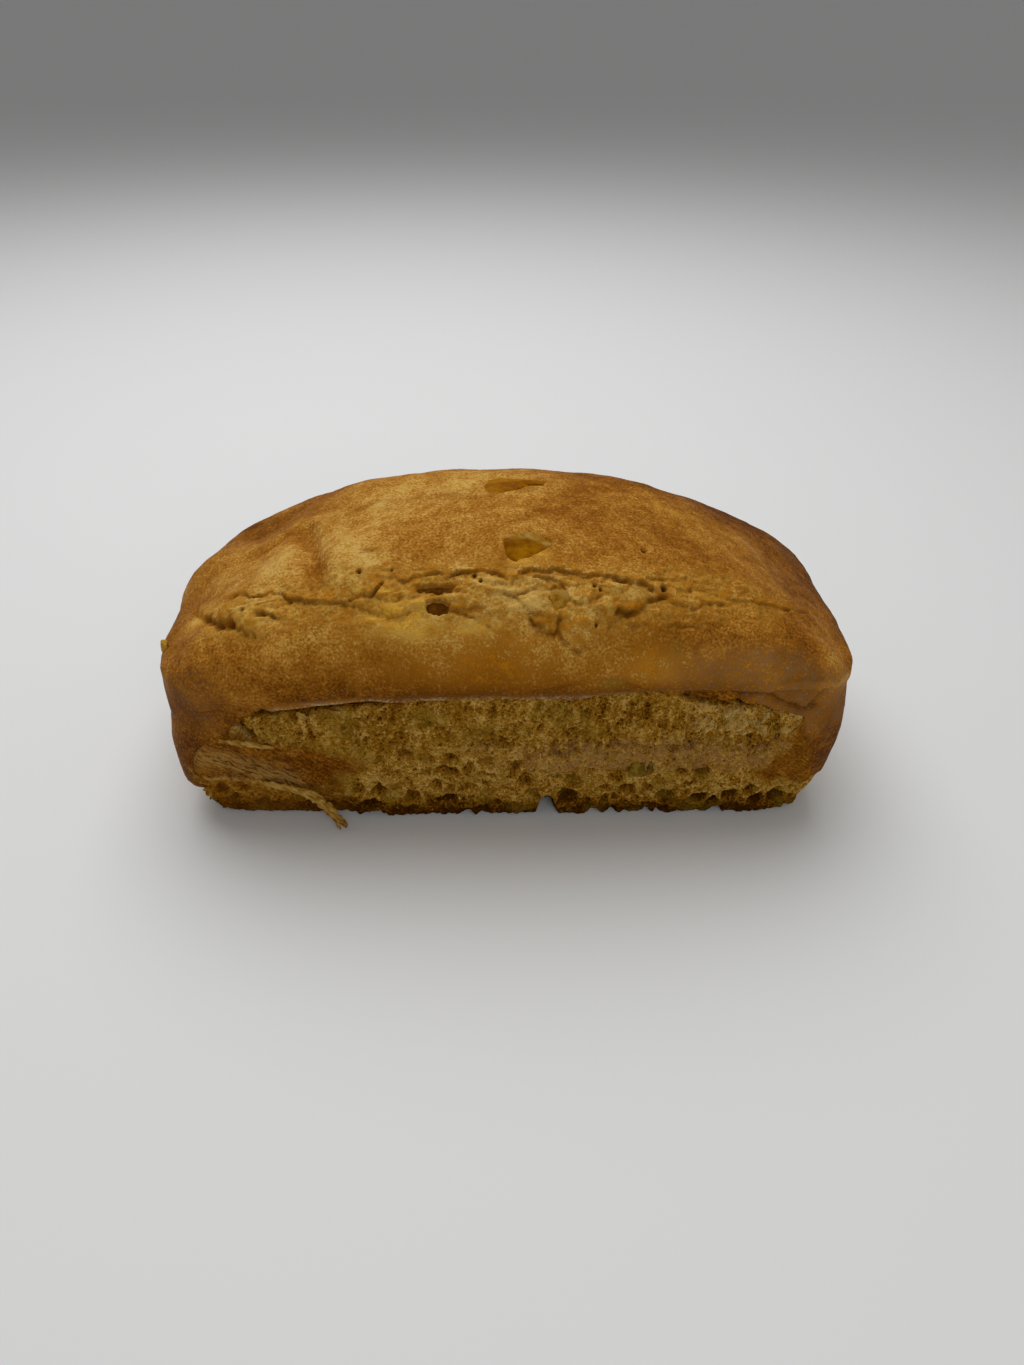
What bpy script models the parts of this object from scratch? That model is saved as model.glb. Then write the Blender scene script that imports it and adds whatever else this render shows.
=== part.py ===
"""Stollen baked in a small tin: a domed loaf with a craggy fold, a torn side and candied fruit.

The loaf lies along X, its torn side faces -Y and it stands on Z = 0. The driving dimensions are
in millimetres, the model is in metres.
"""

import math

import bmesh
import bpy
import numpy as np
from mathutils import Matrix, Vector, noise
from mathutils.bvhtree import BVHTree

MM = 0.001

# ---------------------------------------------------------------- size and form, in mm
HEIGHT = 77.2                           # table to the crest of the dome
LEFT_END, RIGHT_END = 87.4, 91.6        # widest reach of each side from the crest's middle
FRONT, BACK = 41.5, 46.8
BASE_LEFT, BASE_RIGHT = 84.5, 85.0      # the same reaches at the table, before the foot is torn
BASE_FRONT, BASE_BACK = 30.8, 39.0
LIP_FRONT = 37.2                        # reach of the torn wall just under the lip
LIP_STEP = 2.4                          # how far the lip of crust stands proud of that wall
LIP_LEFT, LIP_RIGHT = 41.5, 47.0        # level of the lip at the two ends of the tear
LIP_FALL = 12.0                         # the tin's rim line runs this much lower round the ends
RIM_BAND = 1.2                          # height of that line on whole crust
MIDDLE_LEVEL = 48.2                     # level of the widest reach half way along and at the ends
LEFT_LEVEL, RIGHT_LEVEL = 42.4, 43.0
TORN_LEFT, TORN_RIGHT = -62.0, 64.0     # ends of the tear just under the lip
TORN_SPREAD = 17.0                      # it is this much wider on each side at the table
FOOT_HEIGHT = 12.0                      # torn foot round the ends and the back, and its depth
FOOT_LEFT, FOOT_RIGHT = 2.6, 1.2        # at the two ends
NOTCH_X, NOTCH_WIDTH = 12.0, 3.2        # hollow at the foot of the torn wall
NOTCH_HEIGHT, NOTCH_DEPTH = 7.0, 5.0

BASE_SQUARENESS, WIDE_SQUARENESS = 11.0, 5.0    # superellipse powers of the outline
DOME_POWER, DOME_EDGE = 2.7, 0.50       # flatness of the dome's crest and roundness of its rim
RIDGE_POWER_LEFT, RIDGE_POWER_RIGHT = 2.0, 1.95     # flatness of the crest seen from the side
RIDGE_DROP = 0.75                       # share of its height that it loses towards the ends
FLARE_POWER = 0.76                      # how soon the wall reaches its full width
SHOULDER = 0.92                         # share of the widest reach where the top's grid begins

# ---------------------------------------------------------------- mesh
CELLS_X, CELLS_Y = 46, 22               # quads along the box that the loaf is shaped from
WALL_ROWS, SWELL_ROWS = 8, 5
ROWS = WALL_ROWS + 1 + SWELL_ROWS       # one row between them is the lip's underside
CURL = 0.34                             # share of the swell's rows under the widest level
FINE_FOLD = -0.6                        # the top has finer quads in front of this place of the box

# ---------------------------------------------------------------- relief, in mm
# A fold is a line of points seen from above, its depth and its half width.
FOLDS = (
    (((-78, -14), (-75, -19), (-69, -25), (-63, -30)), 3.4, 2.4),
    (((-64, -25), (-59, -26.5), (-52, -27)), 2.2, 1.7),
    (((-54, -27), (-46, -30.5), (-36, -32.5), (-31, -32)), 1.8, 2.2),
    (((-32, -32), (-28, -30), (-20, -28), (-13, -25), (-8, -24), (2, -26)), 2.6, 1.8),
    (((2, -26), (8, -25), (18, -26), (27, -24.6), (33, -24.5), (38, -26.5)), 2.4, 1.8),
    (((-20, -33), (-13, -33), (-6, -35), (-3, -36.5)), 2.8, 1.9),
    (((-6, -28), (0, -32), (5, -33), (10, -29.5)), 2.0, 1.5),
    (((6, -35), (10, -36.3), (13.5, -36.5), (13, -33.5)), 2.8, 1.8),
    (((25, -35), (32, -33.5), (36, -31), (45, -31), (52, -31.5)), 3.6, 1.9),
    (((36, -25), (42, -27), (50, -25.5), (53, -28.5), (58, -28), (64, -25.5), (76, -22)), 2.6, 1.8),
    (((37, -26), (38, -28.5), (36, -31)), 1.8, 1.5),
    (((39, -36), (43, -36)), 1.2, 1.4),
    (((-49, -3), (-46, -14), (-44, -26)), 2.0, 4.5),
    (((12, 2), (6, -6), (4, -12)), 1.2, 4.0),
)
# A lump is its place seen from above, its radius and its height.
LUMPS = (
    (-58, -30, 5.5, 2.4),
    (-73, -29, 5, 1.4),
    (-38, -20, 9, 1.4),
    (-26, -33, 5, 2.0),
    (3, -29, 4.5, 1.4),
    (9, -32.5, 4, 2.4),
    (17, -34, 4, 2.2),
    (28, -38, 5, 1.4),
    (44, -29, 4, 1.0),
    (-30, 14, 16, 1.0),
    (-80, 2, 10, 1.4),
    (-84, -16, 9, 1.0),
    (84, -14, 12, 1.6),
    (40, 12, 18, 1.0),
)
WAVE_SIZE, WAVE_HEIGHT = 34.0, 1.1      # slow unevenness of the crust
GRAIN_SIZE, GRAIN_HEIGHT = 9.0, 0.35
CRUMB_SIZE, CRUMB_HEIGHT = 7.0, 2.4     # torn crumb of the front wall
FOOT_WAVE_SIZE, FOOT_WAVE_HEIGHT = 16.0, 4.0    # raggedness of the foot's upper edge

# A ribbon of torn crust that stands off the front wall: its points from the root to the tip, and
# its half width and half thickness.
RIBBONS = (
    (((-64, -28, 12), (-57, -33.5, 11), (-49, -35.5, 9), (-45, -37.5, 5), (-41, -39, 3)), (0.9, 0.8)),
    (((-74, -31, 29), (-67, -36.6, 27.5), (-58, -37.4, 25.5)), (1.1, 0.5)),
    (((-55, -33, 24), (-49, -36.4, 25), (-44, -36.8, 26)), (0.8, 0.5)),
    (((36, -33, 41), (41, -37.4, 40.5), (45, -38, 41.5)), (1.4, 0.5)),
    (((47, -33, 42), (53, -37.4, 41), (58, -38, 42.5)), (1.6, 0.5)),
    (((58, -32, 38), (64, -36.8, 38.5), (69, -36.6, 40.5)), (1.5, 0.5)),
)

# ---------------------------------------------------------------- fruit, in mm
# Name: place seen from above (x, y) or from the front (x, z), then length, width and thickness,
# turn in degrees about the crust's normal, and depth of the centre under the crust.
TOP_FRUIT = {
    "peel_top": ((5, -18), (14.5, 11.5, 7.0), 12, 2.2),
    "sultana_crest": ((4, 12), (16, 10, 7), 0, 2.2),
    "raisin_upper": ((-16.5, -28.0), (11, 5.0, 5), -4, 1.8),
    "raisin_lower": ((-17.5, -33.0), (7.5, 5.0, 5), 8, 1.8),
}
WALL_FRUIT = {
    "citron_wall": ((38, 15), (9, 8, 6), 90, 1.6),
}
FRUIT_GAP = 0.3                         # clearance between a fruit and its pocket
FRUIT_BOXINESS = 2.6                    # superellipsoid power of a fruit
WRINKLE = 0.09                          # depth of its wrinkles, as a share of its size

# ---------------------------------------------------------------- finishes: colour, roughness
CRUST = ((0.42, 0.22, 0.075), 0.6)
FRUIT_FINISH = {
    "peel_top": ((0.40, 0.26, 0.03), 0.25),
    "sultana_crest": ((0.45, 0.22, 0.03), 0.3),
    "raisin_upper": ((0.12, 0.035, 0.012), 0.35),
    "raisin_lower": ((0.12, 0.035, 0.012), 0.35),
    "citron_wall": ((0.26, 0.20, 0.04), 0.3),
}


def clear_scene():
    for obj in list(bpy.data.objects):
        bpy.data.objects.remove(obj)


def smooth_step(value, low, high):
    t = np.clip((value - low) / (high - low), 0.0, 1.0)
    return t * t * (3.0 - 2.0 * t)


def quarter_sine(share):
    return np.sin(0.5 * math.pi * np.clip(share, 0.0, 1.0))


def fractal(points, size, seed, octaves=3):
    """Smooth noise of about -1 to 1 at each point; size is the length of its largest waves."""
    shift = Vector((7.31 * seed, 3.17 * seed, 5.71 * seed))
    return np.array([noise.fractal(Vector(p) / size + shift, 1.0, 2.0, octaves) for p in points])


# ---------------------------------------------------------------- form of the loaf
def outline_share(u, v, squareness):
    """Share that carries a square ring of the box onto a superellipse."""
    ring = np.maximum(np.maximum(np.abs(u), np.abs(v)), 1e-9)
    power = (np.abs(u) / ring) ** squareness + (np.abs(v) / ring) ** squareness
    return np.maximum(power, 1.0) ** (-1.0 / squareness)


def end_level(x):
    """Level of the widest reach at the end that is nearer."""
    return np.where(x < 0.0, LEFT_LEVEL, RIGHT_LEVEL)


def share_of_end(x):
    """0 half way along the loaf, 1 at the widest reach of its end."""
    return np.abs(x) / np.where(x < 0.0, LEFT_END, RIGHT_END)


def wide_level(x):
    """Level of the widest reach: low at the ends, high along the sides."""
    return MIDDLE_LEVEL - (MIDDLE_LEVEL - end_level(x)) * share_of_end(x) ** 4


def lip_level(x):
    """Level of the tin's rim line: the lip on the front, a faint band elsewhere."""
    slope = (LIP_RIGHT - LIP_LEFT) / (TORN_RIGHT - TORN_LEFT)
    return LIP_LEFT + slope * (x - TORN_LEFT) - LIP_FALL * share_of_end(x) ** 6


def dome_level(x, y):
    """Level of the domed top over a point of the plan."""
    share_x = share_of_end(x)
    share_y = np.abs(y) / np.where(y < 0.0, FRONT, BACK)
    ring = (share_x**WIDE_SQUARENESS + share_y**WIDE_SQUARENESS) ** (1.0 / WIDE_SQUARENESS)
    rim = (1.0 - np.clip(ring, 0.0, 1.0) ** DOME_POWER) ** DOME_EDGE
    power = np.where(x < 0.0, RIDGE_POWER_LEFT, RIDGE_POWER_RIGHT)
    ridge = 1.0 - RIDGE_DROP * np.clip(share_x, 0.0, 1.0) ** power
    level = wide_level(x)
    return level + (HEIGHT - level) * rim * ridge


def torn_share(x, z):
    """1 where the front wall has lost its crust, 0 where the crust is whole."""
    spread = TORN_SPREAD * smooth_step(1.0 - z / LIP_LEFT, 0.0, 0.8)
    soft = 4.0
    left = smooth_step(x, TORN_LEFT - spread, TORN_LEFT - spread + soft)
    right = 1.0 - smooth_step(x, TORN_RIGHT + spread - soft, TORN_RIGHT + spread)
    return left * right


def wall_points(u, v, level):
    """Side wall under the lip; level runs from 0 at the table to 1 under the lip."""
    squareness = BASE_SQUARENESS + (WIDE_SQUARENESS - BASE_SQUARENESS) * level
    share = outline_share(u, v, squareness)
    z = lip_level(u * share * np.where(u < 0.0, LEFT_END, RIGHT_END)) * level
    flare = quarter_sine(z / end_level(u)) ** FLARE_POWER
    end = np.where(u < 0.0, BASE_LEFT + (LEFT_END - BASE_LEFT) * flare,
                   BASE_RIGHT + (RIGHT_END - BASE_RIGHT) * flare)
    x = u * share * end
    lip = LIP_FRONT + LIP_STEP * (1.0 - torn_share(x, z))
    front = BASE_FRONT + (lip - BASE_FRONT) * quarter_sine(level) ** FLARE_POWER
    back = BASE_BACK + (BACK - BASE_BACK) * flare
    return np.array((x, v * share * np.where(v < 0.0, front, back), z))


def swell_points(u, v, climb):
    """Swollen crust over the lip; climb runs from 0 at the lip's edge to 1 at the shoulder."""
    share = outline_share(u, v, WIDE_SQUARENESS)
    under = np.clip(climb / CURL, 0.0, 1.0)
    turn = np.clip((climb - CURL) / (1.0 - CURL), 0.0, 1.0)
    shrink = np.cos(turn * math.acos(SHOULDER))
    lip = LIP_FRONT + LIP_STEP
    front = lip + (FRONT - lip) * quarter_sine(under)
    x = u * share * np.where(u < 0.0, LEFT_END, RIGHT_END) * shrink
    y = v * share * np.where(v < 0.0, front, BACK) * shrink
    edge = lip_level(x) + RIM_BAND * np.where(v > -1.0, 1.0, 1.0 - torn_share(x, LIP_LEFT))
    low = edge + (wide_level(x) - edge) * under
    return np.array((x, y, np.where(climb < CURL, low, dome_level(x, y))))


def subdivided_box(bm):
    """A cube of -1 to 1 with a grid on every face."""
    bmesh.ops.create_cube(bm, size=2.0)
    for axis, cells in enumerate((CELLS_X, CELLS_Y, ROWS)):
        along = [edge for edge in bm.edges
                 if abs(edge.verts[1].co[axis] - edge.verts[0].co[axis]) > 1.0]
        bmesh.ops.subdivide_edges(bm, edges=along, cuts=cells - 1, use_grid_fill=True)


def row_of(w):
    """Row of the sides, from 0 at the table to ROWS at the shoulder."""
    return (w + 1.0) * 0.5 * ROWS


def on_torn_wall(centre):
    return centre.y < -0.999 and abs(centre.x) < 0.93 and 0.5 < row_of(centre.z) < WALL_ROWS


def on_fold(centre):
    top = centre.z > 0.999 and centre.y < FINE_FOLD
    front = centre.y < -0.999 and row_of(centre.z) > ROWS - 2
    return (top or front) and abs(centre.x) < 0.96


def refine(bm, wanted):
    """Halves the quads whose centre is wanted, so that finer relief fits there."""
    chosen = [face for face in bm.faces if wanted(face.calc_center_median())]
    edges = {edge for face in chosen for edge in face.edges}
    bmesh.ops.subdivide_edges(bm, edges=list(edges), cuts=1, use_grid_fill=True)


# ---------------------------------------------------------------- relief
def distance_to_line(x, y, line):
    """Distance in plan from each point to a line of points."""
    nearest = np.full_like(x, 1e3)
    for (start_x, start_y), (end_x, end_y) in zip(line[:-1], line[1:]):
        run_x, run_y = end_x - start_x, end_y - start_y
        t = ((x - start_x) * run_x + (y - start_y) * run_y) / (run_x**2 + run_y**2)
        t = np.clip(t, 0.0, 1.0)
        nearest = np.minimum(nearest, np.hypot(x - start_x - t * run_x, y - start_y - t * run_y))
    return nearest


def crust_relief(points):
    """Waves, lumps and folds of the crust, outwards."""
    x, y, z = points.T
    height = WAVE_HEIGHT * fractal(points, WAVE_SIZE, 1, 2)
    height += GRAIN_HEIGHT * fractal(points, GRAIN_SIZE, 2)
    height *= 0.3 + 0.7 * smooth_step(z, 5.0, 30.0)
    for lump_x, lump_y, radius, tall in LUMPS:
        near = np.hypot(x - lump_x, y - lump_y) / radius
        height += tall * np.exp(-near**2) * smooth_step(z, 36.0, 46.0)
    for line, depth, half_width in FOLDS:
        near = distance_to_line(x, y, line) / half_width
        height -= depth * np.exp(-near**2) * smooth_step(z, 48.0, 54.0)
    return height


def foot_relief(points):
    """The crust is missing round the foot of the ends and the back."""
    x, y, z = points.T
    edge = FOOT_HEIGHT + FOOT_WAVE_HEIGHT * fractal(points * (1, 1, 0), FOOT_WAVE_SIZE, 4)
    depth = np.interp(x, (-BASE_LEFT, BASE_RIGHT), (FOOT_LEFT, FOOT_RIGHT))
    return -depth * (1.0 - smooth_step(z, edge - 1.5, edge + 1.5))


def crumb_relief(points):
    """Ragged crumb of the torn wall, with one hollow at its foot."""
    x, y, z = points.T
    ridges = CRUMB_HEIGHT * (0.25 - np.abs(fractal(points, CRUMB_SIZE, 3)))
    hollow = np.exp(-np.abs((x - NOTCH_X) / NOTCH_WIDTH) ** 4)
    return ridges - NOTCH_DEPTH * hollow * (1.0 - smooth_step(z, 0.3 * NOTCH_HEIGHT, NOTCH_HEIGHT))


def loaf_mesh():
    bm = bmesh.new()
    subdivided_box(bm)
    refine(bm, on_torn_wall)
    refine(bm, on_fold)
    u, v, w = np.array([vert.co for vert in bm.verts]).T
    row = row_of(w)
    wall = wall_points(u, v, np.clip(row / WALL_ROWS, 0.0, 1.0))
    swell = swell_points(u, v, np.clip((row - WALL_ROWS - 1.0) / SWELL_ROWS, 0.0, 1.0))
    on_wall = row < WALL_ROWS + 0.25
    under_lip = (row < WALL_ROWS + 0.75) & ~on_wall
    form = np.where(on_wall, wall, np.where(under_lip, 0.5 * (wall + swell), swell)).T
    for vert, place in zip(bm.verts, form):
        vert.co = place
    bm.normal_update()
    torn = torn_share(form[:, 0], form[:, 2]) * np.where((v < -0.999) & on_wall, 1.0, 0.0)
    height = (1.0 - torn) * (crust_relief(form) + foot_relief(form)) + torn * crumb_relief(form)
    for vert, amount in zip(bm.verts, height):
        on_table = vert.co.z < 1e-6
        vert.co += Vector(vert.normal) * amount
        vert.co.z = 0.0 if on_table else max(vert.co.z, 0.4)
    base = [face for face in bm.faces if all(vert.co.z < 1e-6 for vert in face.verts)]
    bmesh.ops.dissolve_faces(bm, faces=base, use_verts=True)
    bmesh.ops.transform(bm, matrix=Matrix.Scale(MM, 4), verts=bm.verts)
    return bm


# ---------------------------------------------------------------- objects
def new_material(name, colour, roughness):
    material = bpy.data.materials.new(name)
    material.use_nodes = True
    shader = material.node_tree.nodes["Principled BSDF"]
    shader.inputs["Base Color"].default_value = (*colour, 1.0)
    shader.inputs["Roughness"].default_value = roughness
    shader.inputs["Metallic"].default_value = 0.0
    return material


def new_object(name, bm, material):
    bmesh.ops.triangulate(bm, faces=bm.faces)
    bmesh.ops.recalc_face_normals(bm, faces=bm.faces)
    mesh = bpy.data.meshes.new(name)
    bm.to_mesh(mesh)
    bm.free()
    mesh.materials.append(material)
    mesh.shade_smooth()
    obj = bpy.data.objects.new(name, mesh)
    bpy.context.collection.objects.link(obj)
    return obj


def torn_ribbon(name, line, half_width, half_thickness):
    """A tapering ribbon: a curve with a flat bevel and capped ends, made into a mesh."""
    curve = bpy.data.curves.new(name, "CURVE")
    curve.dimensions = "3D"
    curve.extrude = half_width * MM
    curve.bevel_depth = half_thickness * MM
    curve.bevel_resolution = 0
    curve.use_fill_caps = True
    spline = curve.splines.new("POLY")
    spline.points.add(len(line) - 1)
    for index, (point, place) in enumerate(zip(spline.points, line)):
        point.co = (*(Vector(place) * MM), 1.0)
        point.radius = 1.0 - 0.5 * index / (len(line) - 1)
    guide = bpy.data.objects.new(f"{name}_guide", curve)
    bpy.context.collection.objects.link(guide)
    shape = guide.evaluated_get(bpy.context.evaluated_depsgraph_get())
    ribbon = bpy.data.objects.new(name, bpy.data.meshes.new_from_object(shape))
    bpy.data.objects.remove(guide)
    return ribbon


def fruit_mesh(size, seed, grow):
    """A wrinkled, slightly boxy drop of fruit; grow makes the pocket that it sits in."""
    bm = bmesh.new()
    bmesh.ops.create_icosphere(bm, subdivisions=3, radius=1.0)
    half = Vector(size) * 0.5
    for vert in bm.verts:
        way = vert.co.normalized()
        boxy = sum(abs(c) ** FRUIT_BOXINESS for c in way) ** (-1.0 / FRUIT_BOXINESS)
        wave = noise.fractal(way * 1.6 + Vector((seed, 0.0, 0.0)), 1.0, 2.0, 2)
        place = Vector([c * h * boxy * (1.0 + WRINKLE * wave) for c, h in zip(way, half)])
        vert.co = (place + place.normalized() * grow) * MM
    return bm


def lying_on(location, normal, turn):
    """Axes of a piece that lies on the crust: Z outwards, X along the loaf before the turn."""
    outward = normal.normalized()
    across = outward.cross(Vector((1.0, 0.0, 0.0))).normalized()
    axes = Matrix((across.cross(outward), across, outward)).transposed()
    spin = Matrix.Rotation(math.radians(turn), 3, "Z")
    return Matrix.Translation(location) @ (axes @ spin).to_4x4()


def boolean(target, tools, operation):
    """Joins the tools to the target or cuts them out of it, then removes them."""
    group = bpy.data.collections.new(operation.lower())
    bpy.context.scene.collection.children.link(group)
    for tool in tools:
        group.objects.link(tool)
        tool.hide_render = True
        tool.display_type = "WIRE"
    step = target.modifiers.new(operation.lower(), "BOOLEAN")
    step.operation = operation
    step.solver = "EXACT"
    step.operand_type = "COLLECTION"
    step.collection = group
    shape = target.evaluated_get(bpy.context.evaluated_depsgraph_get())
    result = bpy.data.meshes.new_from_object(shape)
    target.modifiers.remove(step)
    target.data = result
    for tool in tools:
        bpy.data.objects.remove(tool)
    bpy.data.collections.remove(group)


def fruit_places(loaf):
    """Where each fruit touches the crust, and the crust's direction there."""
    surface = BVHTree.FromObject(loaf, bpy.context.evaluated_depsgraph_get())
    far = 1.0
    for name, ((x, y), *shape) in TOP_FRUIT.items():
        hit = surface.ray_cast(Vector((x * MM, y * MM, far)), Vector((0.0, 0.0, -1.0)))
        yield name, hit[0], hit[1], shape
    for name, ((x, z), *shape) in WALL_FRUIT.items():
        hit = surface.ray_cast(Vector((x * MM, -far, z * MM)), Vector((0.0, 1.0, 0.0)))
        yield name, hit[0], hit[1], shape


def add_fruit(loaf):
    """Sets each fruit into a pocket of the loaf, with a small clearance all round."""
    pieces, pockets = [], []
    for seed, (name, location, normal, (size, turn, depth)) in enumerate(fruit_places(loaf)):
        place = lying_on(location - normal * depth * MM, normal, turn)
        finish = new_material(name, *FRUIT_FINISH[name])
        for kind, grow, group in ((name, 0.0, pieces), (f"{name}_pocket", FRUIT_GAP, pockets)):
            obj = new_object(kind, fruit_mesh(size, seed, grow), finish)
            obj.matrix_world = place
            group.append(obj)
    for pocket in pockets:
        bpy.context.collection.objects.unlink(pocket)
    boolean(loaf, pockets, "DIFFERENCE")
    return pieces


def centre_on_origin(objects):
    """Moves the whole model so that the middle of its footprint is at the origin."""
    bpy.context.view_layer.update()
    corners = np.array([obj.matrix_world @ Vector(corner)
                        for obj in objects for corner in obj.bound_box])
    middle = 0.5 * (corners.min(axis=0) + corners.max(axis=0))
    for obj in objects:
        obj.location.x -= middle[0]
        obj.location.y -= middle[1]


def main():
    clear_scene()
    loaf = new_object("loaf", loaf_mesh(), new_material("crust", *CRUST))
    ribbons = [torn_ribbon(f"ribbon_{n}", line, *half) for n, (line, half) in enumerate(RIBBONS)]
    boolean(loaf, ribbons, "UNION")
    centre_on_origin([loaf, *add_fruit(loaf)])


if __name__ == "__main__":
    main()
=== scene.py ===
# %% [markdown]
# # A stollen baked in a small tin
#
# The real thing is one small fruit loaf. It rose out of its tin, so it has a domed, browned top
# that bulges over a lip, and under the lip the long side tore open when it left the tin. A craggy
# fold runs along the front of the dome, and candied fruit shows in a few places.
#
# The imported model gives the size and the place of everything, and this script dresses it: a finer
# crust, the open crumb of the torn side, the fruit, and the finishes.

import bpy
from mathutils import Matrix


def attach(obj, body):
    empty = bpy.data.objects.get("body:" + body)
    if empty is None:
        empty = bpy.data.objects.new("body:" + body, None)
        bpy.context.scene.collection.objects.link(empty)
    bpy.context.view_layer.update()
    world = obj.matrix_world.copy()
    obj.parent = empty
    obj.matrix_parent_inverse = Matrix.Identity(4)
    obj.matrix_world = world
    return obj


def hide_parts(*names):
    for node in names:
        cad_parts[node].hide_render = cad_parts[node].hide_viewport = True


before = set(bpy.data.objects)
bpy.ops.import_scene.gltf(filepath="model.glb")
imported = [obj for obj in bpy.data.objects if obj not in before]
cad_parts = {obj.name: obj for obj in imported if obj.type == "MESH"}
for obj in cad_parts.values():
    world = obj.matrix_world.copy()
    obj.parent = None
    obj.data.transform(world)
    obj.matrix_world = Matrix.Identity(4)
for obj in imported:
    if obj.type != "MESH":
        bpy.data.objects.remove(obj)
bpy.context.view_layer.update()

# %% Modules and units
import math

import bmesh
import bpy
import numpy as np
from mathutils import Matrix, Vector, noise
from mathutils.bvhtree import BVHTree

MM = 0.001
scene = bpy.context.scene

# %% [markdown]
# ## Camera, floor and light
#
# The loaf is seen from in front and well above, from about 29 cm away. The camera's axes are
# worked out from where it looks and how far it leans, so that it can be set as one matrix. The
# floor is plain and pale. Bread has a dull skin, so the light has to do the modelling: one broad
# soft light above and behind the loaf lets the dome glow and leaves the front in half shade.

# %% Camera
EYE = Vector((-7.9, -227.0, 183.5)) * MM
PITCH, YAW, ROLL = math.radians(36.01), -0.041, math.radians(1.105)
LENS, SENSOR, NEAREST = 25.45, 36.0, 10.0 * MM


def camera_axes(pitch, yaw, roll):
    """Right, up and backward directions of a camera that looks down along +Y."""
    turn = Matrix.Rotation(yaw, 3, "Z")
    forward = turn @ Vector((0.0, math.cos(pitch), -math.sin(pitch)))
    up = turn @ Vector((0.0, math.sin(pitch), math.cos(pitch)))
    right = turn @ Vector((1.0, 0.0, 0.0))
    across = right * math.cos(roll) + up * math.sin(roll)
    upward = up * math.cos(roll) - right * math.sin(roll)
    return Matrix((across, upward, -forward)).transposed()


lens = bpy.data.cameras.new("camera")
lens.lens, lens.sensor_width, lens.sensor_fit = LENS, SENSOR, "AUTO"
lens.clip_start = NEAREST
camera = bpy.data.objects.new("camera", lens)
camera.matrix_world = Matrix.Translation(EYE) @ camera_axes(PITCH, YAW, ROLL).to_4x4()
scene.collection.objects.link(camera)
scene.camera = camera
print("camera", round(EYE.length, 3), "m from the origin")

# %% Floor
FLOOR_SIZE, FLOOR_GAP = 60.0, 0.2 * MM
FLOOR_COLOUR, FLOOR_ROUGHNESS = (0.80, 0.805, 0.80), 0.7

floor_bm = bmesh.new()
bmesh.ops.create_grid(floor_bm, x_segments=1, y_segments=1, size=0.5 * FLOOR_SIZE)
bmesh.ops.translate(floor_bm, vec=(0.0, 0.0, -FLOOR_GAP), verts=floor_bm.verts)
floor_mesh = bpy.data.meshes.new("floor")
floor_bm.to_mesh(floor_mesh)
floor_bm.free()
floor_material = bpy.data.materials.new("pale_floor")
floor_material.use_nodes = True
floor_shader = floor_material.node_tree.nodes["Principled BSDF"]
floor_shader.inputs["Base Color"].default_value = (*FLOOR_COLOUR, 1.0)
floor_shader.inputs["Roughness"].default_value = FLOOR_ROUGHNESS
floor_mesh.materials.append(floor_material)
floor = bpy.data.objects.new("floor", floor_mesh)
scene.collection.objects.link(floor)
print("floor", FLOOR_SIZE, "m wide")

# %% Light
LAMPS = {
    # name: (place, target, size, watts)
    "overhead": ((-0.10, 0.30, 0.75), (0.0, 0.0, 0.05), 0.9, 4.9),
    "front": ((0.15, -0.80, 0.55), (0.0, 0.0, 0.03), 0.6, 1.5),
}
WORLD_COLOUR, WORLD_STRENGTH = (0.99, 1.0, 0.985), 0.23

for name, (place, target, size, watts) in LAMPS.items():
    lamp = bpy.data.lights.new(name, "AREA")
    lamp.shape, lamp.size, lamp.energy = "DISK", size, watts
    holder = bpy.data.objects.new(name, lamp)
    aim = Vector(target) - Vector(place)
    holder.matrix_world = Matrix.Translation(place) @ aim.to_track_quat("-Z", "Y").to_matrix().to_4x4()
    scene.collection.objects.link(holder)

world = bpy.data.worlds.new("soft_room")
world.use_nodes = True
sky = world.node_tree.nodes["Background"]
sky.inputs["Color"].default_value = (*WORLD_COLOUR, 1.0)
sky.inputs["Strength"].default_value = WORLD_STRENGTH
scene.world = world
scene.view_settings.view_transform = "Standard"
print("lights:", list(LAMPS))

# %% [markdown]
# ## The form of the loaf
#
# A loaf like this is a box with soft corners, a wall that flares towards the rim of the tin, and a
# dome. It could be sculpted by hand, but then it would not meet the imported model. So it is the same
# cube with a grid on each face, carried onto the same named sizes: superellipses for the outline,
# a quarter sine for the flare and a power curve for the dome. All of these sizes are in mm, counted
# from the middle of the crest, and TO_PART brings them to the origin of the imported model.

# %% Named sizes of the loaf
SHIFT = (-2.03, -2.58)
TO_PART = Matrix.Translation((SHIFT[0] * MM, SHIFT[1] * MM, 0.0)) @ Matrix.Scale(MM, 4)
HEIGHT = 77.2
LEFT_END, RIGHT_END = 87.4, 91.6
FRONT, BACK = 41.5, 46.8
BASE_LEFT, BASE_RIGHT = 84.5, 85.0
BASE_FRONT, BASE_BACK = 30.8, 39.0
LIP_FRONT, LIP_STEP = 37.2, 2.4
LIP_LEFT, LIP_RIGHT, LIP_FALL, LIP_RUN = 41.5, 47.0, 12.0, 126.0
RIM_BAND = 1.2
MIDDLE_LEVEL, LEFT_LEVEL, RIGHT_LEVEL = 48.2, 42.4, 43.0
TORN_LEFT = -62.0
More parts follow.
